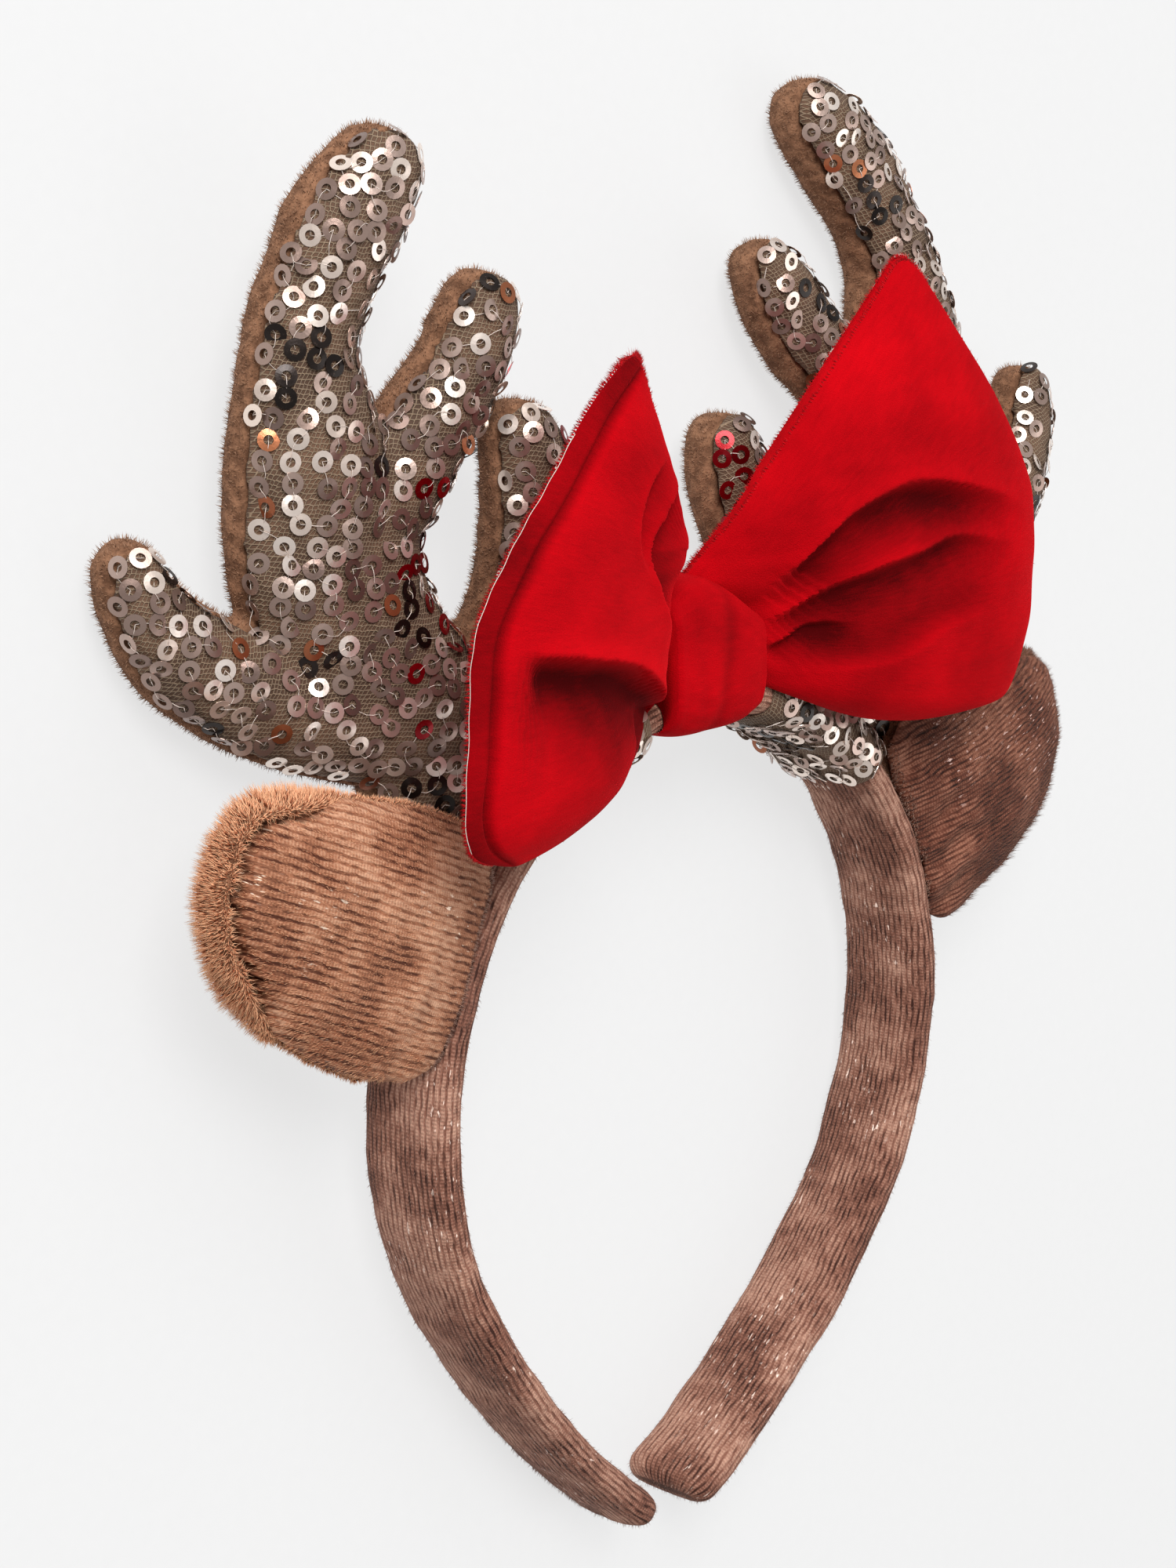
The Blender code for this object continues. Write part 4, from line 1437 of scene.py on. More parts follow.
@dataclass
class Sequins:
    """Ring sequins sewn to a skin with one thread that wanders from hole to hole.

    Lengths are in millimetres.

    Attributes:
        spacing: The least distance between two rings.
        most: The most rings.
        lift: How far the rings stand over the skin.
        tilt: How far they lean, in degrees.
        longest: The longest stretch of thread between two rings.
        thread: The thread's radius.
        route: The thread's way from ring to ring: shares of the gap, each with the thread's
            height over the skin in millimetres.
        bright: The share added to the rings' tones, which paints lighter reflections and fewer dark ones.
        chains: Places in chains that are filled before the others.
        wider: By how much the spacing grows for those others.
        bow: The middle of the bow, in the row frame, which rings that face it mirror.
    """

    name: str
    palette: Palette
    spots: Spots
    seed: int
    ring: Ring = Ring()
    spacing: float = 2.95
    most: int = 420
    lift: float = 0.42
    tilt: float = 15.0
    longest: float = 7.5
    thread: float = 0.075
    route: tuple[tuple[float, float], ...] = ((0.0, 0.25), (0.22, 0.72), (0.45, 0.6), (0.7, 0.22), (1.0, 0.3))
    bright: float = 0.0
    chains: Optional[Spots] = None
    wider: float = 1.08
    bow: Optional[Array] = None

    def build(self) -> None:
        """Builds the rings and the thread."""
        chained_count = len(self.chains.points) if self.chains else 0
        spots = joined(self.chains, self.spots) if self.chains else self.spots
        spots = spread_out(spots, self.spacing * MM, self.most, self.wider, chained_count)
        leaned = Spots(spots.points, tilted(spots.normals, self.tilt, self.seed))
        self._rings(leaned)
        self._thread(leaned)

    def _rings(self, spots: Spots) -> None:
        """Copies the ring to each place, turned to its normal, with a tone of its own.

        Args:
            spots: The rings' places.
        """
        draw = np.random.default_rng(self.seed + 1)
        count = len(spots.points)
        LOG.info("%s: %d rings", self.name, count)
        points, faces = self.ring.template()
        side = unit(np.cross(spots.normals, draw.normal(size=(count, 3))))
        other = np.cross(spots.normals, side)
        turned = np.einsum("pk,nkj->npj", points, np.stack([side, other, spots.normals], axis=1))
        placed = turned + (spots.points + spots.normals * self.lift * MM)[:, None, :]
        faces = (np.arange(count)[:, None, None] * len(points) + faces).reshape(-1, 4)
        mesh = mesh_from_arrays(self.name, placed.reshape(-1, 3), faces)
        set_attribute(mesh, "tone", np.repeat(self._tones(spots), len(points)))
        add_object(self.name, mesh, self.palette.foil, Slot.SEQUINED)
        mesh.shade_flat()

    def _tones(self, spots: Spots) -> Array:
        """Draws the rings' tones, from 0 to 1 along the foil's colours.

        Most are taupe, and many are cream as a painted reflection of the lamps. Nearly black ones, painted
        reflections of dark surroundings, gather where a random relief is high; red ones, painted reflections
        of the bow, where the ring faces the bow from near by; and a few are orange, painted reflections of
        the plush.

        Args:
            spots: The rings' places.

        Returns:
            One tone for each.
        """
        draw = np.random.default_rng(self.seed + 4)
        count = len(spots.points)
        # Taupe to pink is the foil's own colour; the added share paints lighter reflections.
        tone = draw.uniform(0.24, 0.72, count) + self.bright
        # Painted reflection of the lamps: many rings are cream.
        tone = np.where(draw.uniform(size=count) < 0.30, draw.uniform(0.78, 0.90, count), tone)
        # Painted reflections of dark surroundings: nearly black rings gather where a random relief is high.
        dark_reflection_lumps = lumps(spots.points, 17.0 * MM, self.seed + 2)
        dark = draw.uniform(size=count) < ramp(dark_reflection_lumps, 0.35, 1.0) * 0.8 - self.bright
        tone = np.where(dark, draw.uniform(0.0, 0.14, count), tone)
        # Painted reflection of the plush: a few rings are orange.
        tone = np.where(draw.uniform(size=count) < 0.035, draw.uniform(0.975, 1.0, count), tone)
        if self.bow is not None:
            toward = self.bow - spots.points
            away = np.linalg.norm(toward, axis=1)
            facing = dots(spots.normals, toward) / away
            # Painted reflection of the bow: rings that face it from near by turn red.
            mirrored = ramp(facing, 0.02, 0.42) * (1 - ramp(away, 50.0 * MM, 78.0 * MM)) * 0.85
            tone = np.where(draw.uniform(size=count) < mirrored, draw.uniform(0.922, 0.96, count), tone)
        return tone

    def _thread(self, spots: Spots) -> None:
        """Runs the thread: out of a hole, over the ring's face, down, and under the next ring.

        Args:
            spots: The rings' places.
        """
        order = self._order(spots.points)
        start, stop = spots.points[order[:-1]], spots.points[order[1:]]
        rise_a, rise_b = spots.normals[order[:-1]], spots.normals[order[1:]]
        near = np.linalg.norm(stop - start, axis=1) < self.longest * MM
        start, stop, rise_a, rise_b = (item[near] for item in (start, stop, rise_a, rise_b))
        gap = stop - start
        draw = np.random.default_rng(self.seed + 3)
        shares, lifts = np.array(self.route).T[:, None, :, None]
        sway = np.cross(rise_a, gap) * draw.normal(scale=0.16, size=len(gap))[:, None]
        normal = rise_a[:, None] * (1 - shares) + rise_b[:, None] * shares
        line = start[:, None] + gap[:, None] * shares
        line = line + normal * (lifts * MM) + sway[:, None] * np.sin(np.pi * shares)
        around = spokes(3, unit(np.cross(unit(gap), rise_a)), rise_a)
        rings = line[:, :, None, :] + self.thread * MM * around[:, None, :, :]
        count, rows = rings.shape[:2]
        quads, _ = grid_faces(rows, 3, False, True)
        last = (rows - 1) * 3
        caps = np.array([[2, 1, 0, 0], [last, last + 1, last + 2, last + 2]])
        one = np.vstack([quads, caps])
        faces = (np.arange(count)[:, None, None] * rows * 3 + one).reshape(-1, 4)
        mesh = mesh_from_arrays(f"{self.name}_thread", rings.reshape(-1, 3), faces)
        add_object(f"{self.name}_thread", mesh, self.palette.thread, Slot.SEQUINED)

    @staticmethod
    def _order(points: Array) -> Array:
        """Visits each ring once, always the nearest that is left.

        Args:
            points: The rings' places.

        Returns:
            Their numbers in that order.
        """
        left = np.ones(len(points), bool)
        here = int(np.argmin(points[:, 1]))
        order = []
        for _ in range(len(points)):
            order.append(here)
            left[here] = False
            distance = np.sum((points - points[here]) ** 2, axis=1)
            here = int(np.argmin(np.where(left, distance, np.inf)))
        return np.array(order)


@dataclass
class Antler:
    """A stuffed antler: sequined front, plush back and the sleeve that holds its foot.

    Lengths are in millimetres.

    Attributes:
        splay: How far the outer side turns back, in degrees.
        lean: How far the top tips forward, in degrees.
        roll: How far it turns in its own plane, in degrees.
        wrap_from: Where the sleeve starts, in millimetres from the top.
        wrap_to: Where it ends.
        wrap_gaps: How far the sleeve's inner and outer skins lie over the band.
        candidates: How many places are drawn on the front, for the rings to choose from.
        chain_row: The mean distance between chains of rings.
        chain_step: The distance between rings along one.
        hairs: How many hairs the plush back has.
        hair: Their length.
        stuffing: How its panels swell.
    """

    base: BandFrame
    palette: Palette
    hand: Hand
    splay: float
    lean: float
    roll: float
    wrap_from: float
    wrap_to: float
    seed: int
    wrap_gaps: tuple[float, float] = (0.25, 1.75)
    candidates: int = 26000
    chain_row: float = 4.1
    chain_step: float = 3.3
    hairs: int = 34000
    hair: float = 1.15
    stuffing: Stuffing = Stuffing(0.28, (0.30, 15.0), (0.12, 5.0), 0.85)

    def _ways(self) -> Ways:
        """Turns the antler's own directions into the row frame.

        Returns:
            Upward, outward and front.
        """
        splay, lean, roll = (math.radians(angle) for angle in (self.splay, self.lean, self.roll))
        sign = self.hand.value
        out = np.array([sign * math.cos(splay), 0.0, -math.sin(splay)])
        facing = np.array([sign * math.sin(splay), 0.0, math.cos(splay)])
        up = np.array([0.0, math.cos(lean), 0.0]) + facing * math.sin(lean)
        front = facing * math.cos(lean) - np.array([0.0, math.sin(lean), 0.0])
        rolled_out = out * math.cos(roll) + up * math.sin(roll)
        rolled_up = up * math.cos(roll) - out * math.sin(roll)
        return Ways(self.base.turn(rolled_up), self.base.turn(rolled_out), self.base.turn(front))

    def build(self) -> None:
        """Builds the panels, the sequins, the pile and the sleeve."""
        ways = self._ways()
        name = f"antler_{self.hand.label}"
        face = self._panel(f"{name}_front", ways, 1, (self.palette.net, Slot.SEQUINED))
        back = self._panel(f"{name}_back", ways, -1, (self.palette.plush, Slot.PLUSH))
        spots = scatter(face, self.candidates, self.seed)
        spots = spots.keep(spots.normals @ ways.front > 0.12)
        chains = chained(spots, ways, self.chain_row * MM, self.chain_step * MM, self.seed + 9)
        bow = self.base.place(np.array([BOW_MIDDLE]))[0]
        Sequins(f"{name}_sequins", self.palette, spots, self.seed + 10, chains=chains, bow=bow).build()
        spots = scatter(back, self.hairs, self.seed + 20)
        spots = spots.keep(spots.normals @ ways.front < 0.9)
        pile = Pile(self.palette.plush_hair, Slot.PLUSH, self.hair, 0.16)
        pile.grow(f"{name}_pile", spots, ways.along * 0.35, self.seed + 21)
        self._sleeve(name)

    def _panel(self, node: str, ways: Ways, side: int, cloth: tuple[Material, Slot]) -> Mesh:
        """One padded panel, with soft lumps of stuffing. The face at the seam stays flat.

        Args:
            node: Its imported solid.
            ways: The antler's directions.
            side: 1 for the front panel and -1 for the back.
            cloth: Its material and the record's slot for it.

        Returns:
            The panel's mesh.
        """
        stuffing = self.stuffing
        mesh = softened(node, stuffing.voxel * MM, stuffing.rounds)
        points, normals = coordinates(mesh), vertex_normals(mesh)
        growth = stuffing.free(normals, side * ways.front) * stuffing.relief(points, MM, self.seed)
        stuffing.finish(node, mesh, points + normals * growth[:, None] * MM, ways, cloth)
        return mesh

    def _sleeve(self, name: str, rings: int = 90, sides: int = 96) -> None:
        """The sequined sleeve round the band: gathered cloth, drawn in at both ends.

        The ends draw in by the square of how near they are. Sequins stand on its outer skin,
        which looks away from the band's centreline, a circle here.

        Args:
            name: The antler's name.
            rings: Rings along it.
            sides: Points round a ring.
        """
        sign, radius = self.hand.value, BAND_ARCS[0][0]
        arcs = np.linspace(self.wrap_from, self.wrap_to, rings) * sign
        share = np.linspace(0, 1, rings)
        inside, outside = (band_rings(arcs, circle(sides), gap, False) for gap in self.wrap_gaps)
        away = unit(outside - outside.mean(axis=1, keepdims=True))
        creases = lumps(outside.reshape(-1, 3) * [1.0, 1.0, 0.35], 5.0, self.seed + 30)
        drawn = 1.35 * (1 - np.minimum(1.0, 9.0 * np.minimum(share, 1 - share))) ** 2
        relief = 0.28 * creases.reshape(outside.shape[:2]) - drawn[:, None]
        mesh = sleeve(f"{name}_sleeve", self.base, outside + away * relief[..., None], inside)
        piece = add_object(f"{name}_sleeve", mesh, self.palette.net, Slot.SEQUINED)
        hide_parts(f"{name}_wrap")
        spots = scatter(mesh, 9000, self.seed + 40)
        local = self.base.measure(spots.points)
        centre = np.array([0.0, -radius, 0.0])
        nearest = centre + unit((local - centre) * [1.0, 1.0, 0.0]) * radius
        outer = dots(spots.normals, spots.points - self.base.place(nearest)) > 0
        arc = np.arctan2(local[:, 0], local[:, 1] + radius) * radius * sign
        spots = spots.keep(outer & (arc > self.wrap_from + 2.4) & (arc < self.wrap_to - 1.6))
        Sequins(
            f"{name}_sleeve_sequins", self.palette, spots, self.seed + 50, spacing=2.5, most=170,
            lift=0.3, tilt=20.0, longest=5.0, bright=0.16, wider=1.0,
        ).build()


@dataclass
class Ear:
    """A padded ear: a ribbed velvet front and a long-haired plush back that shows as its rim.

    Lengths are in millimetres.

    Attributes:
        rise: How far it points up from level, in degrees.
        finish: The velvet of its front.
        hair_finish: The material of its hairs.
        lean_back: How far its tip leans back, in degrees.
        stuffing: How its front swells.
        back_swell: The mean growth of its back.
        rim_hairs: How many places are drawn for the hairs of its back and rim.
        nap_hairs: The same for the nap on its front.
        foot_hairs: The same for those at its foot, of which few are kept.
        short: The shortest of the rim's hairs.
        fringe: The length of the rim's hairs at the tip.
        groove: How far the front's edge draws in from the seam at the tip.
        rim: How far the back rolls forward round it.
        gather: How high the folds stand where the front is gathered at its foot.
    """

    base: BandFrame
    palette: Palette
    hand: Hand
    rise: float
    finish: Material
    hair_finish: Material
    seed: int
    lean_back: float = 1.5
    stuffing: Stuffing = Stuffing(0.35, (0.35, 16.0), (0.10, 6.0), 0.7, 0.8)
    back_swell: float = 0.75
    rim_hairs: int = 60000
    nap_hairs: int = 14000
    foot_hairs: int = 30000
    short: float = 0.9
    fringe: float = 2.4
    groove: float = 4.6
    rim: float = 3.2
    gather: float = 0.0

    def _ways(self) -> Ways:
        """Turns the ear's own directions into the row frame.

        Returns:
            The way it points, up across it and its front.
        """
        rise, back = math.radians(self.rise), math.radians(self.lean_back)
        sign = self.hand.value
        level = np.array([sign * math.cos(rise), math.sin(rise), 0.0])
        along = level * math.cos(back) - np.array([0.0, 0.0, math.sin(back)])
        across = np.cross([0.0, 0.0, 1.0], level) * sign
        front = np.cross(along, across) * sign
        return Ways(*(self.base.turn(way) for way in (along, across, front)))

    def build(self) -> None:
        """Builds both panels, the rim's hairs, the nap and the hairs that hide the foot's seam."""
        ways = self._ways()
        name = f"ear_{self.hand.label}"
        face = self._panel(f"{name}_front", ways, 1, (self.finish, Slot.BROWN))
        behind = self._panel(f"{name}_back", ways, -1, (self.palette.plush, Slot.PLUSH))
        self._rim(name, behind, ways)
        spots = scatter(face, self.nap_hairs, self.seed + 4)
        spots = spots.keep(spots.normals @ ways.front > 0.1)
        low = 1 - self._share(spots.points, ways.across)
        nap = Pile(self.hair_finish, Slot.BROWN, 1.2 + 1.3 * ramp(low, 0.62, 0.95), 0.11)
        nap.grow(f"{name}_nap", spots, ways.along * 2.2, self.seed + 5)
        spots = scatter(face, self.foot_hairs, self.seed + 7)
        at_foot = self._share(spots.points, ways.along) < 0.035
        spots = spots.keep((spots.normals @ ways.front > -0.2) & at_foot)
        seam = Pile(self.palette.band_hair, Slot.BROWN, 0.9, 0.2)
        seam.grow(f"{name}_seam", spots, -ways.along * 0.8, self.seed + 8)

    @staticmethod
    def _share(points: Array, way: Array) -> Array:
        """How far places lie along a direction, from 0 for the first to 1 for the last."""
        height = points @ way
        return (height - height.min()) / np.ptp(height)

    def _panel(self, node: str, ways: Ways, side: int, cloth: tuple[Material, Slot]) -> Mesh:
        """One padded panel. The free side swells a little, the side at the seam stays flat.

        The front's edge draws in at the tip by the groove times the exponential of minus its
        distance from the edge, in puckers, and its foot is gathered in waves. The back's edge
        rolls forward there as a bell curve over the same distance.

        Args:
            node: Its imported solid.
            ways: The ear's directions.
            side: 1 for the front panel and -1 for the back.
            cloth: Its material and the record's slot for it.

        Returns:
            The panel's mesh.
        """
        stuffing = self.stuffing if side > 0 else replace(self.stuffing, swell=self.back_swell)
        mesh = softened(node, stuffing.voxel * MM, stuffing.rounds)
        points, normals = coordinates(mesh), vertex_normals(mesh)
        free = stuffing.free(normals, side * ways.front)
        moved = points + normals * (free * stuffing.relief(points, MM, self.seed))[:, None] * MM
        inset, outward = self._from_edge(points, normals, ways)
        share = self._share(points, ways.along)
        tip = ramp(share, 0.58, 0.85)
        if side > 0:
            phase = 2.4 * lumps(points, 16.0 * MM, self.seed + 3)
            waves = np.sin(points @ ways.across / (1.5 * MM) + phase)
            moved += normals * (self.gather * free * (1 - ramp(share, 0.08, 0.5)) * waves)[:, None] * MM
            pull = tip * self.groove * np.exp(-inset / 3.0)
            pucker = np.sin(np.arctan2(outward @ ways.across, outward @ ways.along) * 46.0)
            moved -= outward * (pull * (1 + 0.16 * pucker * tip))[:, None] * MM
        else:
            top = ramp(normals @ ways.front, -0.2, 0.3)
            roll = tip * top * self.rim * np.exp(-(((inset - 1.3) / 1.5) ** 2))
            moved += ways.front * roll[:, None] * MM
        stuffing.finish(node, mesh, moved, ways, cloth)
        return mesh

    @staticmethod
    def _from_edge(points: Array, normals: Array, ways: Ways, most: int = 500) -> tuple[Array, Array]:
        """How far each corner lies inside the ear's outline, and the way straight out.

        The outline is where the skin faces sideways. The distance is to its nearest corner in the
        plane of the ear.

        Args:
            points: Corners, in the row frame.
            normals: Their normals.
            ways: The ear's directions.
            most: About how many corners of the outline are measured to.

        Returns:
            Distances in millimetres and unit directions.
        """
        flat = ways.flat(points)
        edge = np.flatnonzero(np.abs(normals @ ways.front) < 0.35)
        edge = edge[:: max(1, len(edge) // most)]
        gap = np.sqrt(((flat[:, None, :] - flat[None, edge, :]) ** 2).sum(axis=-1).min(axis=1)) / MM
        away = unit(flat - (flat.min(axis=0) + flat.max(axis=0)) / 2, 1e-9)
        return gap, away[:, :1] * ways.across + away[:, 1:] * ways.along

    def _rim(self, name: str, mesh: Mesh, ways: Ways) -> None:
        """Hairs round the edge, longest at the tip, and shorter ones over the back.

        Args:
            name: The ear's name.
            mesh: The back panel.
            ways: The ear's directions.
        """
        spots = scatter(mesh, self.rim_hairs, self.seed + 2)
        facing = spots.normals @ ways.front
        away = spots.points - spots.points.mean(axis=0)
        outward = unit(away - (away @ ways.front)[:, None] * ways.front)
        tip = ramp(self._share(spots.points, ways.along), 0.50, 0.82)
        inset, _ = self._from_edge(spots.points, spots.normals, ways, 160)
        edge = (dots(spots.normals, outward) > 0.30) & (facing < 0.93)
        edge |= (tip > 0.2) & (facing > -0.2) & (inset < self.rim * 0.75)
        length = self.short + (self.fringe - self.short) * tip[edge]
        fringe = Pile(self.hair_finish, Slot.PLUSH, length, 0.17)
        fringe.grow(f"{name}_fringe", spots.keep(edge), outward[edge] * 0.8, self.seed + 3)
        rest = np.flatnonzero(~edge & (facing < 0.5))[::3]
        pile = Pile(self.hair_finish, Slot.PLUSH, 1.2, 0.16)
        pile.grow(f"{name}_pile", spots.keep(rest), ways.along * 0.6, self.seed + 6)


@dataclass(frozen=True)
class Crease:
    """A fold line on a bow loop, in millimetres out from the knot and up in the bow's frame.

    The cloth on its near side ends in a soft lip, and drops into a hollow on the other side that
    runs out again over the reach.

    Attributes:
        line: Points along it, from the knot outwards.
        depth: How deep the hollow is.
        reach: How far it runs out.
        side: 1 if the hollow lies to the left of the line, -1 to the right.
        ends: The shares of the line over which it fades in and out.
        soft: How wide the lip's slope is, as a share of the reach.
    """

    line: tuple[tuple[float, float], ...]
    depth: float
    reach: float
    side: int
    ends: tuple[float, float] = (0.12, 0.35)
    soft: float = 0.17

    def drop(self, out: Array, up: Array) -> Array:
        """How far the cloth lies below its full form.

        The nearest point of the line gives a signed distance. Past the lip the drop rises fast
        and falls off as the exponential of minus the distance over the reach to the power 1.5.

        Args:
            out: Distances out from the knot.
            up: Heights in the bow's frame.

        Returns:
            The drop at each place, in millimetres.
        """
        line = smooth_rows(self.line, 48)
        ahead = unit(np.gradient(line, axis=0))
        offset = np.stack([out, up], axis=-1)[..., None, :] - line
        squared = (offset**2).sum(axis=-1)
        nearest = squared.argmin(axis=-1)
        away = np.take_along_axis(offset, nearest[..., None, None], axis=-2)[..., 0, :]
        way = ahead[nearest]
        signed = (way[..., 0] * away[..., 1] - way[..., 1] * away[..., 0]) * self.side
        distance = np.where(signed > 0, 1.0, -1.0) * np.sqrt(squared.min(axis=-1))
        share = nearest / (len(line) - 1)
        fade = ramp(share, -0.001, self.ends[0]) * (1 - ramp(share, 1 - self.ends[1], 1.001))
        past = np.maximum(distance, 0.0)
        slope = 1 - np.exp(-((past / (self.soft * self.reach)) ** 1.4))
        hollow = slope * np.exp(-((past / self.reach) ** 1.5))
        lip = np.exp(-((distance / (0.24 * self.reach)) ** 2)) * 0.10
        return self.depth * fade * (hollow - lip)


@dataclass
class BowLoop:
    """One velvet loop of the bow.

    Lengths are in millimetres.

    Attributes:
        rim: Its free edge, bottom to top: out, up and forward in millimetres.
        inner_end: Where its upper edge starts, as a share of half the knot's width.
        creases: Its folds.
        strip: The width of the back layer that shows along the free edge.
        full: How full its front is from the root outwards, as a polynomial.
        back_share: The share of the thickness that lies behind.
        bend: How far it comes forward for each millimetre outwards.
        belly: How far its lower edge sags.
        root_drop: How far the roots reach down the knot's side.
        root_slope: How far the roots rise along the knot's top.
        tuck: How far the roots run in under the knot.
        set_back: How far the roots lie behind the knot's front.
        top_corner: How much of the length and of the width the upper corner's rounding takes.
        low_corner: The same for the lower corner.
        hairs: How many hairs stand along the edges.
        seam: The radius of the thread that shows on the free edge.
    """

    base: BandFrame
    palette: Palette
    hand: Hand
    rim: tuple[tuple[float, float, float], ...]
    inner_end: float
    creases: tuple[Crease, ...]
    seed: int
    strip: float = 0.0
    rows: int = 170
    columns: int = 170
    cloth_width: float = 0.09
    thickness: float = 13.0
    full: tuple[float, float, float] = (-2.0, 1.9, 0.42)
    back_share: float = 0.10
    bend: float = 0.235
    belly: float = 5.5
    knot_half: float = 12.0
    knot_top: float = 12.6
    root_drop: float = 7.0
    root_slope: float = 0.3
    tuck: float = 2.4
    set_back: float = 5.0
    top_corner: tuple[float, float] = (0.06, 0.06)
    low_corner: tuple[float, float] = (0.10, 0.12)
    hairs: int = 4600
    seam: float = 0.0

    def build(self, bow: "Bow") -> None:
        """Builds the loop and the hairs along its edges.

        Args:
            bow: The bow, which places the loop's points.
        """
        front, back, depth = self._grids()
        share = np.linspace(0, 1, self.columns)
        lengths = np.linalg.norm(np.diff(front, axis=0), axis=-1).mean(axis=1)
        along = np.concatenate([[0.0], np.cumsum(lengths)]) * MM
        uv = np.stack(np.broadcast_arrays(share[None, :] * self.cloth_width, along[:, None]), axis=-1)
        name = f"bow_loop_{self.hand.label}"
        mesh = pillow(f"{name}_velvet", self.base, bow.place(front), bow.place(back), uv)
        # The folds' depth goes to the velvet as painted shade in the folds.
        shade = np.zeros(len(mesh.vertices))
        shade[: depth.size] = depth.ravel()
        set_attribute(mesh, "depth", shade)
        piece = add_object(f"{name}_velvet", mesh, self.palette.red, Slot.RED)
        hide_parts(name)
        self._pile(name, bow, front)
        if self.seam:
            self._seam(name, bow, front)

    def _root(self, share: Array) -> Array:
        """The line that the loop fans out from: up the knot's side and on along its top.

        Its corner is rounded by a moving mean over a quarter of the line, weighted by a raised
        cosine.

        Args:
            share: Shares of the way from the lower to the upper edge.

        Returns:
            A point for each.
        """
        corner = (0.0, 0.6, 1.0)
        beside, above = self.knot_half - self.tuck, self.knot_top - self.tuck
        out = np.interp(share, corner, (beside, beside, self.inner_end * self.knot_half))
        up = np.interp(share, corner, (-self.root_drop, above, above + self.root_slope))
        span = len(share) // 8
        window = np.hanning(2 * span + 1)
        window /= window.sum()
        line = np.stack([out, up, np.zeros_like(out)])
        padded = np.pad(line, ((0, 0), (span, span)), mode="reflect", reflect_type="odd")
        return np.stack([np.convolve(row, window, mode="valid") for row in padded], axis=-1)

    def _grids(self) -> tuple[Array, Array, Array]:
        """Works out the loop.

        Lines fan out from the knot's side and top to the free edge. The front rises over them by
        a thickness that is nothing at every edge, less the folds.

        Returns:
            The front, the back and the folds' depth, which the velvet paints as shade, from the root outwards
            by bottom to top.
        """
        share = np.linspace(0, 1, self.columns)
        rim, root = smooth_rows(self.rim, self.columns), self._root(share)
        station = (1 - np.cos(np.pi * np.linspace(0, 1, self.rows)))[:, None] / 2
        outer, level = self._rounded(np.broadcast_to(station, (self.rows, self.columns)), share)
        near, far = (np.stack([np.interp(level, share, row) for row in edge.T], -1) for edge in (root, rim))
        line = near + (far - near) * outer[..., None]
        line[..., 1] -= self.belly * np.sin(np.pi * outer) * (1 - level) ** 3
        full = np.polyval(self.full, station) * np.sqrt(1 - np.abs(2 * station - 1) ** 5)
        height = self.thickness * full * np.sqrt(1 - np.abs(2 * share - 1) ** 2.6)
        out, up = line[..., 0], line[..., 1]
        drop = sum(crease.drop(out, up) for crease in self.creases)
        edge = np.minimum(1.0, height / 3.0)
        flat = np.stack([out, up, np.zeros_like(out)], axis=-1).reshape(-1, 3)
        soft = lumps(flat * [0.35, 1.0, 1.0], 15.0, self.seed).reshape(out.shape) * 0.45
        soft += lumps(flat * [0.22, 1.0, 1.0], 4.5, self.seed + 1).reshape(out.shape) * 0.16 * (1 - station)
        front = np.maximum(height * (1 - self.back_share) - drop * edge + soft * edge, 0.12 * height)
        if self.strip:
            inset = (1 - station) * np.linalg.norm(rim - root, axis=-1)[None, :]
            groove = np.exp(-(((inset - self.strip) / 0.7) ** 2)) * 0.9
            step = (1 - ramp(inset, self.strip - 0.6, self.strip + 0.6)) * 0.8
            front = np.maximum(front - (groove + step) * edge, 0.1 * height)
            # Painted shade only: the strip's groove and step deepen the folds' depth, which darkens the
            # velvet.
            drop = drop + step * 3.2 + groove * 2.0
        plane = line[..., 2] + self.bend * np.maximum(0.0, out - self.knot_half)
        plane = plane - self.set_back * (1 - ramp(station, 0.0, 0.30))
        skins = (plane + front, plane - self.back_share * height)
        front, back = (np.stack([self.hand.value * out, up, skin], axis=-1) for skin in skins)
        return front, back, np.clip(drop / 8.0, -0.15, 1.0)

    def _rounded(self, station: Array, share: Array) -> tuple[Array, Array]:
        """Rounds the loop's two free corners.

        Over a corner's own square both parameters are squeezed as a square is into a disc: each
        is multiplied by the root of one less half the other's square.

        Args:
            station: Shares of the way from the root to the free edge.
            share: Shares of the way from the lower to the upper edge.

        Returns:
            The squeezed station and share.
        """
        level = np.broadcast_to(share, station.shape).copy()
        outer = station.copy()
        for (length, width), flip in ((self.top_corner, False), (self.low_corner, True)):
            up = 1 - level if flip else level
            along = np.clip((outer - (1 - length)) / length, 0.0, 1.0)
            across = np.clip((up - (1 - width)) / width, 0.0, 1.0)
            squeezed = 1 - length + length * along * np.sqrt(1 - across**2 / 2)
            lifted = 1 - width + width * across * np.sqrt(1 - along**2 / 2)
            outer = np.where(along > 0, squeezed, outer)
            up = np.where(across > 0, lifted, up)
            level = 1 - up if flip else up
        return outer, level

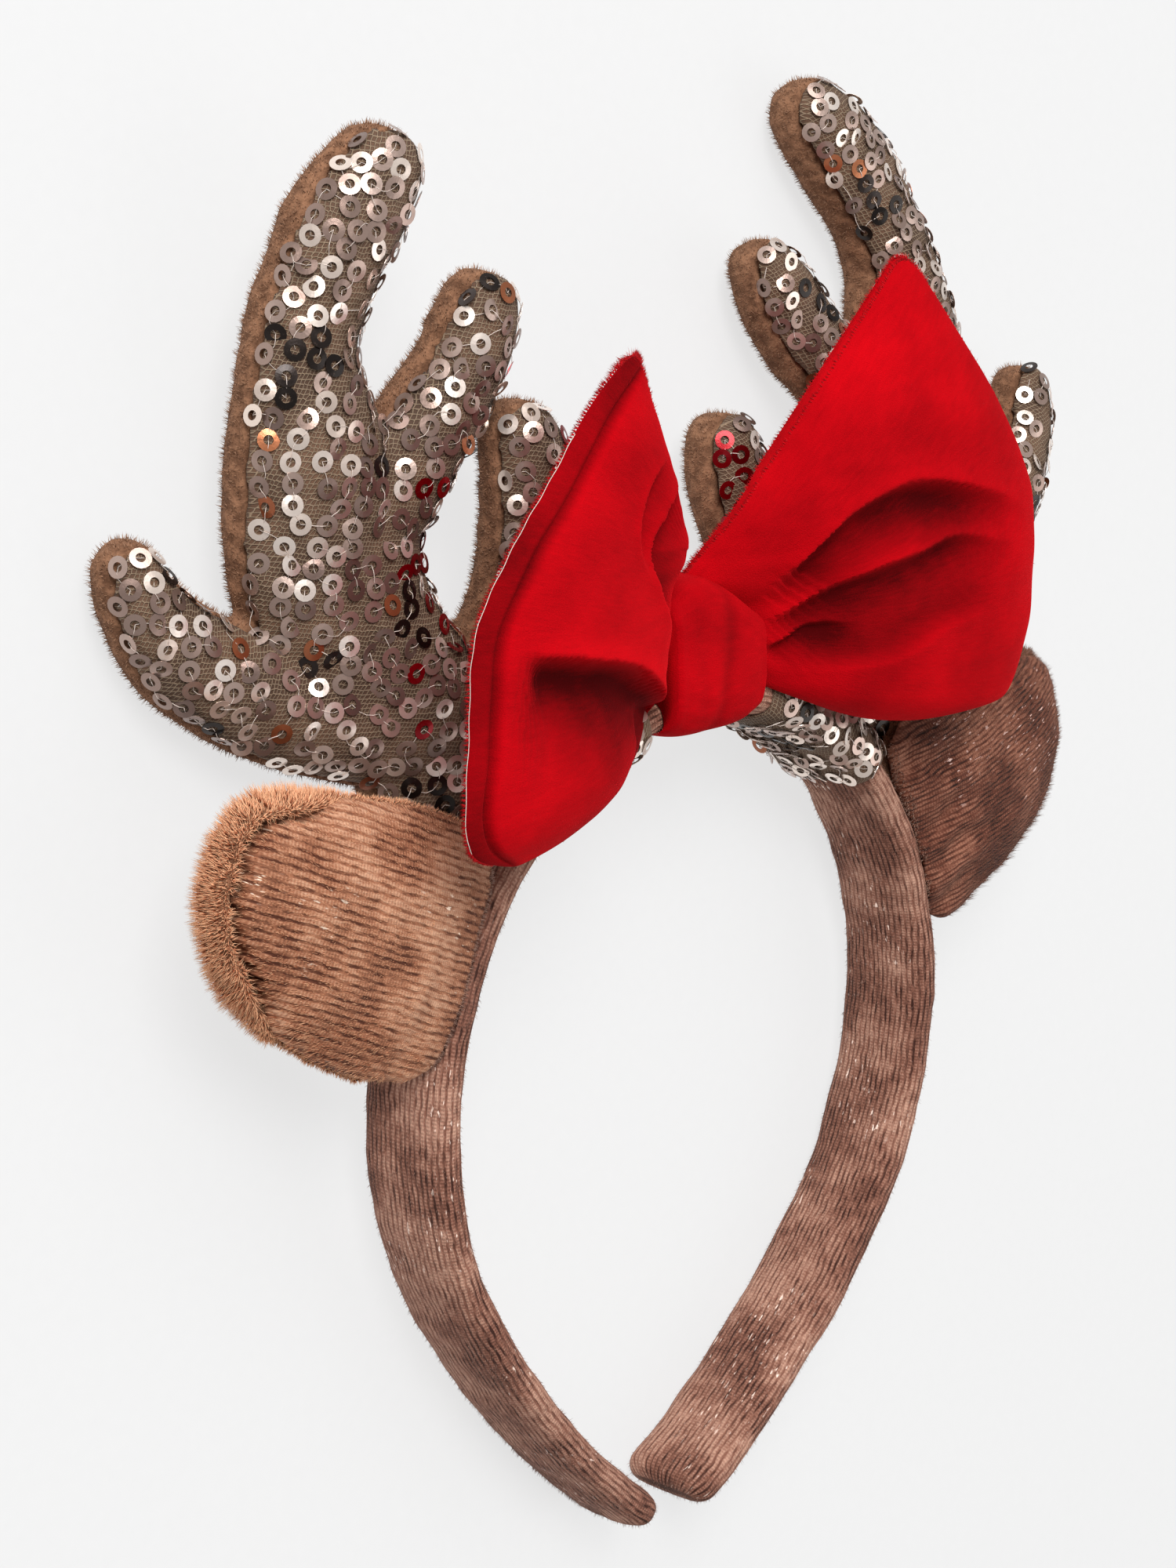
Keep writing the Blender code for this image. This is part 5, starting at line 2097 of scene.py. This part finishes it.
    def _pile(self, name: str, bow: "Bow", front: Array) -> None:
        """A fringe of pile along the free edge and the upper edge.

        Args:
            name: The loop's name.
            bow: The bow, which places the loop's points.
            front: The loop's front.
        """
        draw = np.random.default_rng(self.seed + 5)
        count, last_row, last_column = self.hairs, self.rows - 1, self.columns - 1
        upper = draw.uniform(size=count) < 0.45
        inset = draw.integers(0, 2, count)
        row = np.where(upper, draw.uniform(0.05, 0.995, count) * last_row, last_row - inset).astype(int)
        column = np.where(upper, last_column - inset, draw.uniform(0.02, 1.0, count) * last_column)
        column = column.astype(int)
        points = front[row, column]
        inward = front[np.maximum(row - 6, 0), np.maximum(column - 6, 0)]
        beside, behind = front[row, np.maximum(column - 8, 0)], front[np.maximum(row - 8, 0), column]
        way = unit(points - np.where(upper[:, None], beside, behind), 1e-6)
        place, inward = (self.base.place(bow.place(item)) for item in (points, inward))
        spots = Spots(place + (inward - place) * 0.04, self.base.turn(bow.turn(way)))
        tip = np.maximum(row / self.rows + column / self.columns - 1.86, 0.0) / 0.14
        pile = Pile(self.palette.red_hair, Slot.RED, 0.95 + 0.9 * tip, 0.16)
        pile.grow(f"{name}_fringe", spots, np.zeros(3), self.seed + 6)

    def _seam(self, name: str, bow: "Bow", front: Array) -> None:
        """The pale thread that closes the free edge, wavering a little along it.

        Args:
            name: The loop's name.
            bow: The bow, which places the loop's points.
            front: The loop's front.
        """
        edge = front[-1, int(0.12 * self.columns) : int(0.80 * self.columns)].copy()
        edge[:, 2] += 0.25 + 0.10 * np.sin(np.arange(len(edge)) * 0.55)
        edge[:, 0] += self.hand.value * 0.12
        thread = thread_tube(f"{name}_thread", self.base, bow.place(smooth_rows(edge, 400)), self.seam)
        add_object(f"{name}_thread", thread, self.palette.thread, Slot.RED)


@dataclass
class Bow:
    """The big velvet bow: two loops and the knot that ties them to the band.

    Attributes:
        seat: Where it sits on the band, in millimetres from the top.
        rise: How far its middle lies from the band's centreline.
        forward: How far it lies in front of it.
        knot_wall: How far its cloth clears the band.
        knot_bulge: How far its front lies before the bow's middle.
    """

    base: BandFrame
    palette: Palette
    seat: float = -9.0
    rise: float = 10.6
    forward: float = 12.4
    knot_width: float = 24.0
    knot_wall: float = 2.0
    knot_top: float = 12.6
    knot_bulge: float = 3.2
    line: BandLine = field(init=False)

    def __post_init__(self) -> None:
        """Finds the bow's seat on the band."""
        self.line = BandLine.at(np.array([self.seat]))

    def turn(self, directions: Array) -> Array:
        """Turns directions from the bow's frame into the band's."""
        axes = np.stack([self.line.rightward[0], self.line.outward[0], [0.0, 0.0, 1.0]])
        return directions @ axes

    def place(self, points: Array) -> Array:
        """Turns points from the bow's frame into the band's, in millimetres."""
        middle = self.line.points[0] + self.line.outward[0] * self.rise + np.array([0.0, 0.0, self.forward])
        return self.turn(points) + middle

    def build(self) -> None:
        """Builds the loops and the knot."""
        for loop in self._loops():
            loop.build(self)
        self._knot()

    def _loops(self) -> tuple[BowLoop, BowLoop]:
        """Gives the two loops their own edges and folds.

        Returns:
            The left and the right loop.
        """
        left_rim = (
            (69.0, -24.75, 0.0), (78.0, -17.55, 0.0), (76.5, -0.45, 0.0), (73.5, 14.4, 0.0),
            (64.5, 26.1, 1.5), (54.0, 36.0, 3.0), (45.0, 46.8, 6.0), (34.3, 55.4, 9.0),
        )
        right_rim = (
            (63.0, -20.7, 0.0), (69.0, -18.45, 0.0), (73.5, -7.2, 0.0), (75.0, 4.95, 0.0),
            (74.25, 20.25, 0.0), (66.75, 36.45, 0.0), (56.0, 51.5, 0.0), (44.6, 66.6, 0.0),
        )
        left_folds = (
            Crease(
                ((14.0, -8.0), (22.2, -5.1), (36.9, 3.4), (51.5, 7.5), (68.0, 11.0)),
                depth=8.0, reach=10.5, side=-1, ends=(0.10, 0.16), soft=0.2,
            ),
            Crease(
                ((20.6, 33.0), (29.0, 27.5), (33.4, 21.0), (28.0, 12.0), (19.5, 3.5)),
                depth=4.4, reach=7.5, side=-1, ends=(0.25, 0.25),
            ),
            Crease(
                ((24.5, 38.2), (33.0, 34.0), (37.3, 27.8), (37.0, 22.0), (32.9, 15.5)),
                depth=2.6, reach=5.5, side=-1, ends=(0.3, 0.4),
            ),
            Crease(
                ((13.0, -13.0), (20.0, -12.5), (26.0, -16.0)),
                depth=2.0, reach=4.0, side=1, ends=(0.2, 0.3),
            ),
        )
        right_folds = (
            Crease(
                ((11.0, 7.0), (20.7, 18.4), (30.4, 23.6), (40.7, 25.2), (56.4, 21.5), (70.0, 16.5)),
                depth=6.4, reach=9.5, side=-1, soft=0.26,
            ),
            Crease(
                ((12.0, 1.2), (25.4, 8.6), (40.0, 12.3), (50.3, 14.0), (68.0, 9.5)),
                depth=5.2, reach=7.5, side=-1, soft=0.25,
            ),
            Crease(
                ((12.5, -3.0), (21.2, 1.0), (29.0, 0.2)),
                depth=3.4, reach=4.5, side=-1, ends=(0.15, 0.4), soft=0.25,
            ),
            Crease(
                ((16.0, -8.0), (33.0, -7.0), (46.0, -2.6), (60.0, -0.6)),
                depth=3.2, reach=7.0, side=1, ends=(0.25, 0.35), soft=0.35,
            ),
        )
        parts = self.base, self.palette
        return (
            BowLoop(*parts, Hand.LEFT, left_rim, 0.62, left_folds, 61, strip=4.2, seam=0.06),
            BowLoop(*parts, Hand.RIGHT, right_rim, -0.4, right_folds, 71, knot_top=6.4, root_slope=6.0),
        )

    def _knot(self) -> None:
        """The knot: velvet pulled round the bow and the band, with a soft fold down its front.

        Each station across it is a rounded rectangle. Its top falls away as a smooth step to the
        right, and the fold is a bell curve round a lane that winds down the front.
        """
        angles = circle(200)
        share = np.linspace(-1, 1, 90)
        cosine, sine = superellipse(angles, 4.0)
        low, high = -self.rise - BAND_THICKNESS / 2 - self.knot_wall, self.knot_top
        back, front = -self.forward - BAND_WIDTH / 2 - self.knot_wall, self.knot_bulge
        drawn = (1.0 - 0.12 * np.abs(share) ** 4)[:, None]
        lowered = 7.0 * ramp(share, -0.45, 1.1) ** 1.4 + 1.5 * ramp(-share, 0.5, 1.05)
        up = low + (high - low - (lowered[:, None] * ramp(sine, -0.2, 1.0)[None, :])) * (1 + sine * drawn) / 2
        depth = back + (front - back) * (1 + cosine * drawn) / 2
        across = np.broadcast_to(share[:, None] * self.knot_width / 2, up.shape)
        lane = 1.5 * np.sin(up / 9.0 + 0.6)
        facing = ramp(cosine, 0.2, 0.9)[None, :]
        fold = np.exp(-(((across - lane) / 1.9) ** 2)) * 0.40
        fold = fold + np.exp(-(((across + 6.6 + 0.1 * up) / 2.0) ** 2)) * 0.18
        flat = np.stack([across, up * 0.35, depth * 0.35], axis=-1).reshape(-1, 3)
        pull = lumps(flat[:, [1, 0, 2]] * [3.2, 0.5, 3.2], 3.4, 81).reshape(up.shape) * 0.10
        depth = depth - facing * (fold + pull)
        roll = np.exp(-(((np.abs(share) - 0.93) / 0.07) ** 2))[:, None] * 0.35
        depth = depth + facing * roll
        outside = self.place(np.stack([across, up, depth], axis=-1))
        arcs = self.seat + share * self.knot_width / 2
        inside = band_rings(arcs, angles, 0.25, False)
        mesh = sleeve("bow_knot_velvet", self.base, outside, inside)
        # Painted shade: the fold down the knot's front darkens the velvet through the depth attribute.
        shade = np.zeros(len(mesh.vertices))
        shade[: fold.size] = (fold * facing * 0.45).ravel()
        set_attribute(mesh, "depth", shade)
        piece = add_object("bow_knot_velvet", mesh, self.palette.red, Slot.RED)
        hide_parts("bow_knot")


@dataclass
class Studio:
    """The camera that took the photograph, a pale floor and soft light.

    Attributes:
        eye: The camera's place, in millimetres in the band's frame.
        right: The camera's right in the band's frame.
        up: The camera's up in the band's frame.
        focal: The focal length in pixels of a 1500 by 2000 image.
        paper: The floor's darkest and lightest grey.
        glow: How much the floor glows.
        lamps: Each lamp's name, place, width and power, in metres and watts.
    """

    base: BandFrame
    eye: tuple[float, float, float] = (-406.6, 52.4, 342.3)
    right: tuple[float, float, float] = (0.675, 0.062, 0.735)
    up: tuple[float, float, float] = (0.056, 0.989, -0.135)
    focal: float = 3759.45
    image: float = 2000.0
    sensor: float = 36.0
    half_floor: float = 3.0
    paper: tuple[float, float] = (0.135, 0.15)
    glow: float = 0.715
    lamps: tuple[tuple[str, tuple[float, float, float], float, float], ...] = (
        ("key", (-0.70, 0.65, 1.05), 0.7, 19.0),
        ("fill", (0.9, -0.3, 0.9), 1.2, 5.0),
        ("brow", (-0.2, 1.1, 0.7), 0.8, 5.0),
    )
    sky: float = 0.42

    def build(self) -> None:
        """Builds the camera, the floor and the lights."""
        self._camera()
        self._floor()
        self._lights()

    @staticmethod
    def _stand(item: Object, axes: Array, place: Array) -> None:
        """Turns and places a camera or lamp, which looks along its own -Z.

        Args:
            item: The camera or lamp.
            axes: Its own X, Y and Z as rows.
            place: Its place, in metres.
        """
        matrix = Matrix(axes.T.tolist()).to_4x4()
        matrix.translation = place
        item.matrix_world = matrix

    def _camera(self) -> None:
        """Sets the camera where the photograph was taken from."""
        right = unit(np.array(self.right))
        up = unit(np.array(self.up) - right * (np.array(self.up) @ right))
        data = bpy.data.cameras.new("photograph")
        data.sensor_width = self.sensor
        data.lens = self.focal / self.image * self.sensor
        data.clip_start, data.clip_end = 0.01, 20.0
        camera = link("photograph", data)
        axes = self.base.turn(np.stack([right, up, np.cross(right, up)]))
        self._stand(camera, axes, self.base.place(np.array([self.eye]))[0])
        bpy.context.scene.camera = camera

    def _floor(self) -> None:
        """A plain pale floor, which glows a little as a light table does."""
        half = self.half_floor
        corners = [(-half, -half, 0.0), (half, -half, 0.0), (half, half, 0.0), (-half, half, 0.0)]
        mesh = bpy.data.meshes.new("floor")
        mesh.from_pydata(corners, [], [(0, 1, 2, 3)])
        recipe = Recipe("floor_paper")
        grain = recipe.noise(recipe.place(), 400.0)
        inputs = {
            "Base Color": recipe.blend(grain, *((grey,) * 3 for grey in self.paper)),
            "Roughness": 0.9,
            "Specular IOR Level": 0.0,
            "Emission Color": (1.0, 1.0, 1.0, 1.0),
            "Emission Strength": self.glow,
        }
        mesh.materials.append(recipe.finish(inputs))
        link("floor", mesh)

    def _lights(self) -> None:
        """A soft key from the upper left, two weak fills and an even sky."""
        for name, place, width, power in self.lamps:
            data = bpy.data.lights.new(name, "AREA")
            data.shape = "DISK"
            data.size = width
            data.energy = power
            away = unit(np.array(place))
            side = unit(np.cross([0.0, 0.0, 1.0], away))
            self._stand(link(name, data), np.stack([side, np.cross(away, side), away]), place)
        world = bpy.data.worlds.new("sky")
        world.use_nodes = True
        sky = world.node_tree.nodes["Background"]
        sky.inputs["Color"].default_value = (1.0, 1.0, 1.0, 1.0)
        sky.inputs["Strength"].default_value = self.sky
        bpy.context.scene.world = world
        bpy.context.scene.view_settings.view_transform = "Standard"


def main() -> None:
    """Builds every piece in order."""
    logging.basicConfig(level=logging.INFO, format="%(name)s %(message)s")
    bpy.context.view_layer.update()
    base = BandFrame.from_node(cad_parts["headband"])
    palette = Palette.mix()
    Studio(base).build()
    Band(base, palette).build()
    Antler(
        base, palette, Hand.LEFT, splay=11.0, lean=5.0, roll=0.0, wrap_from=24.5, wrap_to=54.2, seed=101
    ).build()
    Antler(
        base, palette, Hand.RIGHT, splay=-2.0, lean=-6.0, roll=24.0, wrap_from=9.3, wrap_to=46.3, seed=202
    ).build()
    Ear(base, palette, Hand.LEFT, 17.5, palette.ear_left, palette.ginger_hair, 301).build()
    Ear(
        base, palette, Hand.RIGHT, 24.0, palette.ear_right, palette.dark_hair, 401,
        fringe=1.5, groove=0.8, rim=0.6, gather=0.8,
    ).build()
    Bow(base, palette).build()


if __name__ == "__main__":
    main()
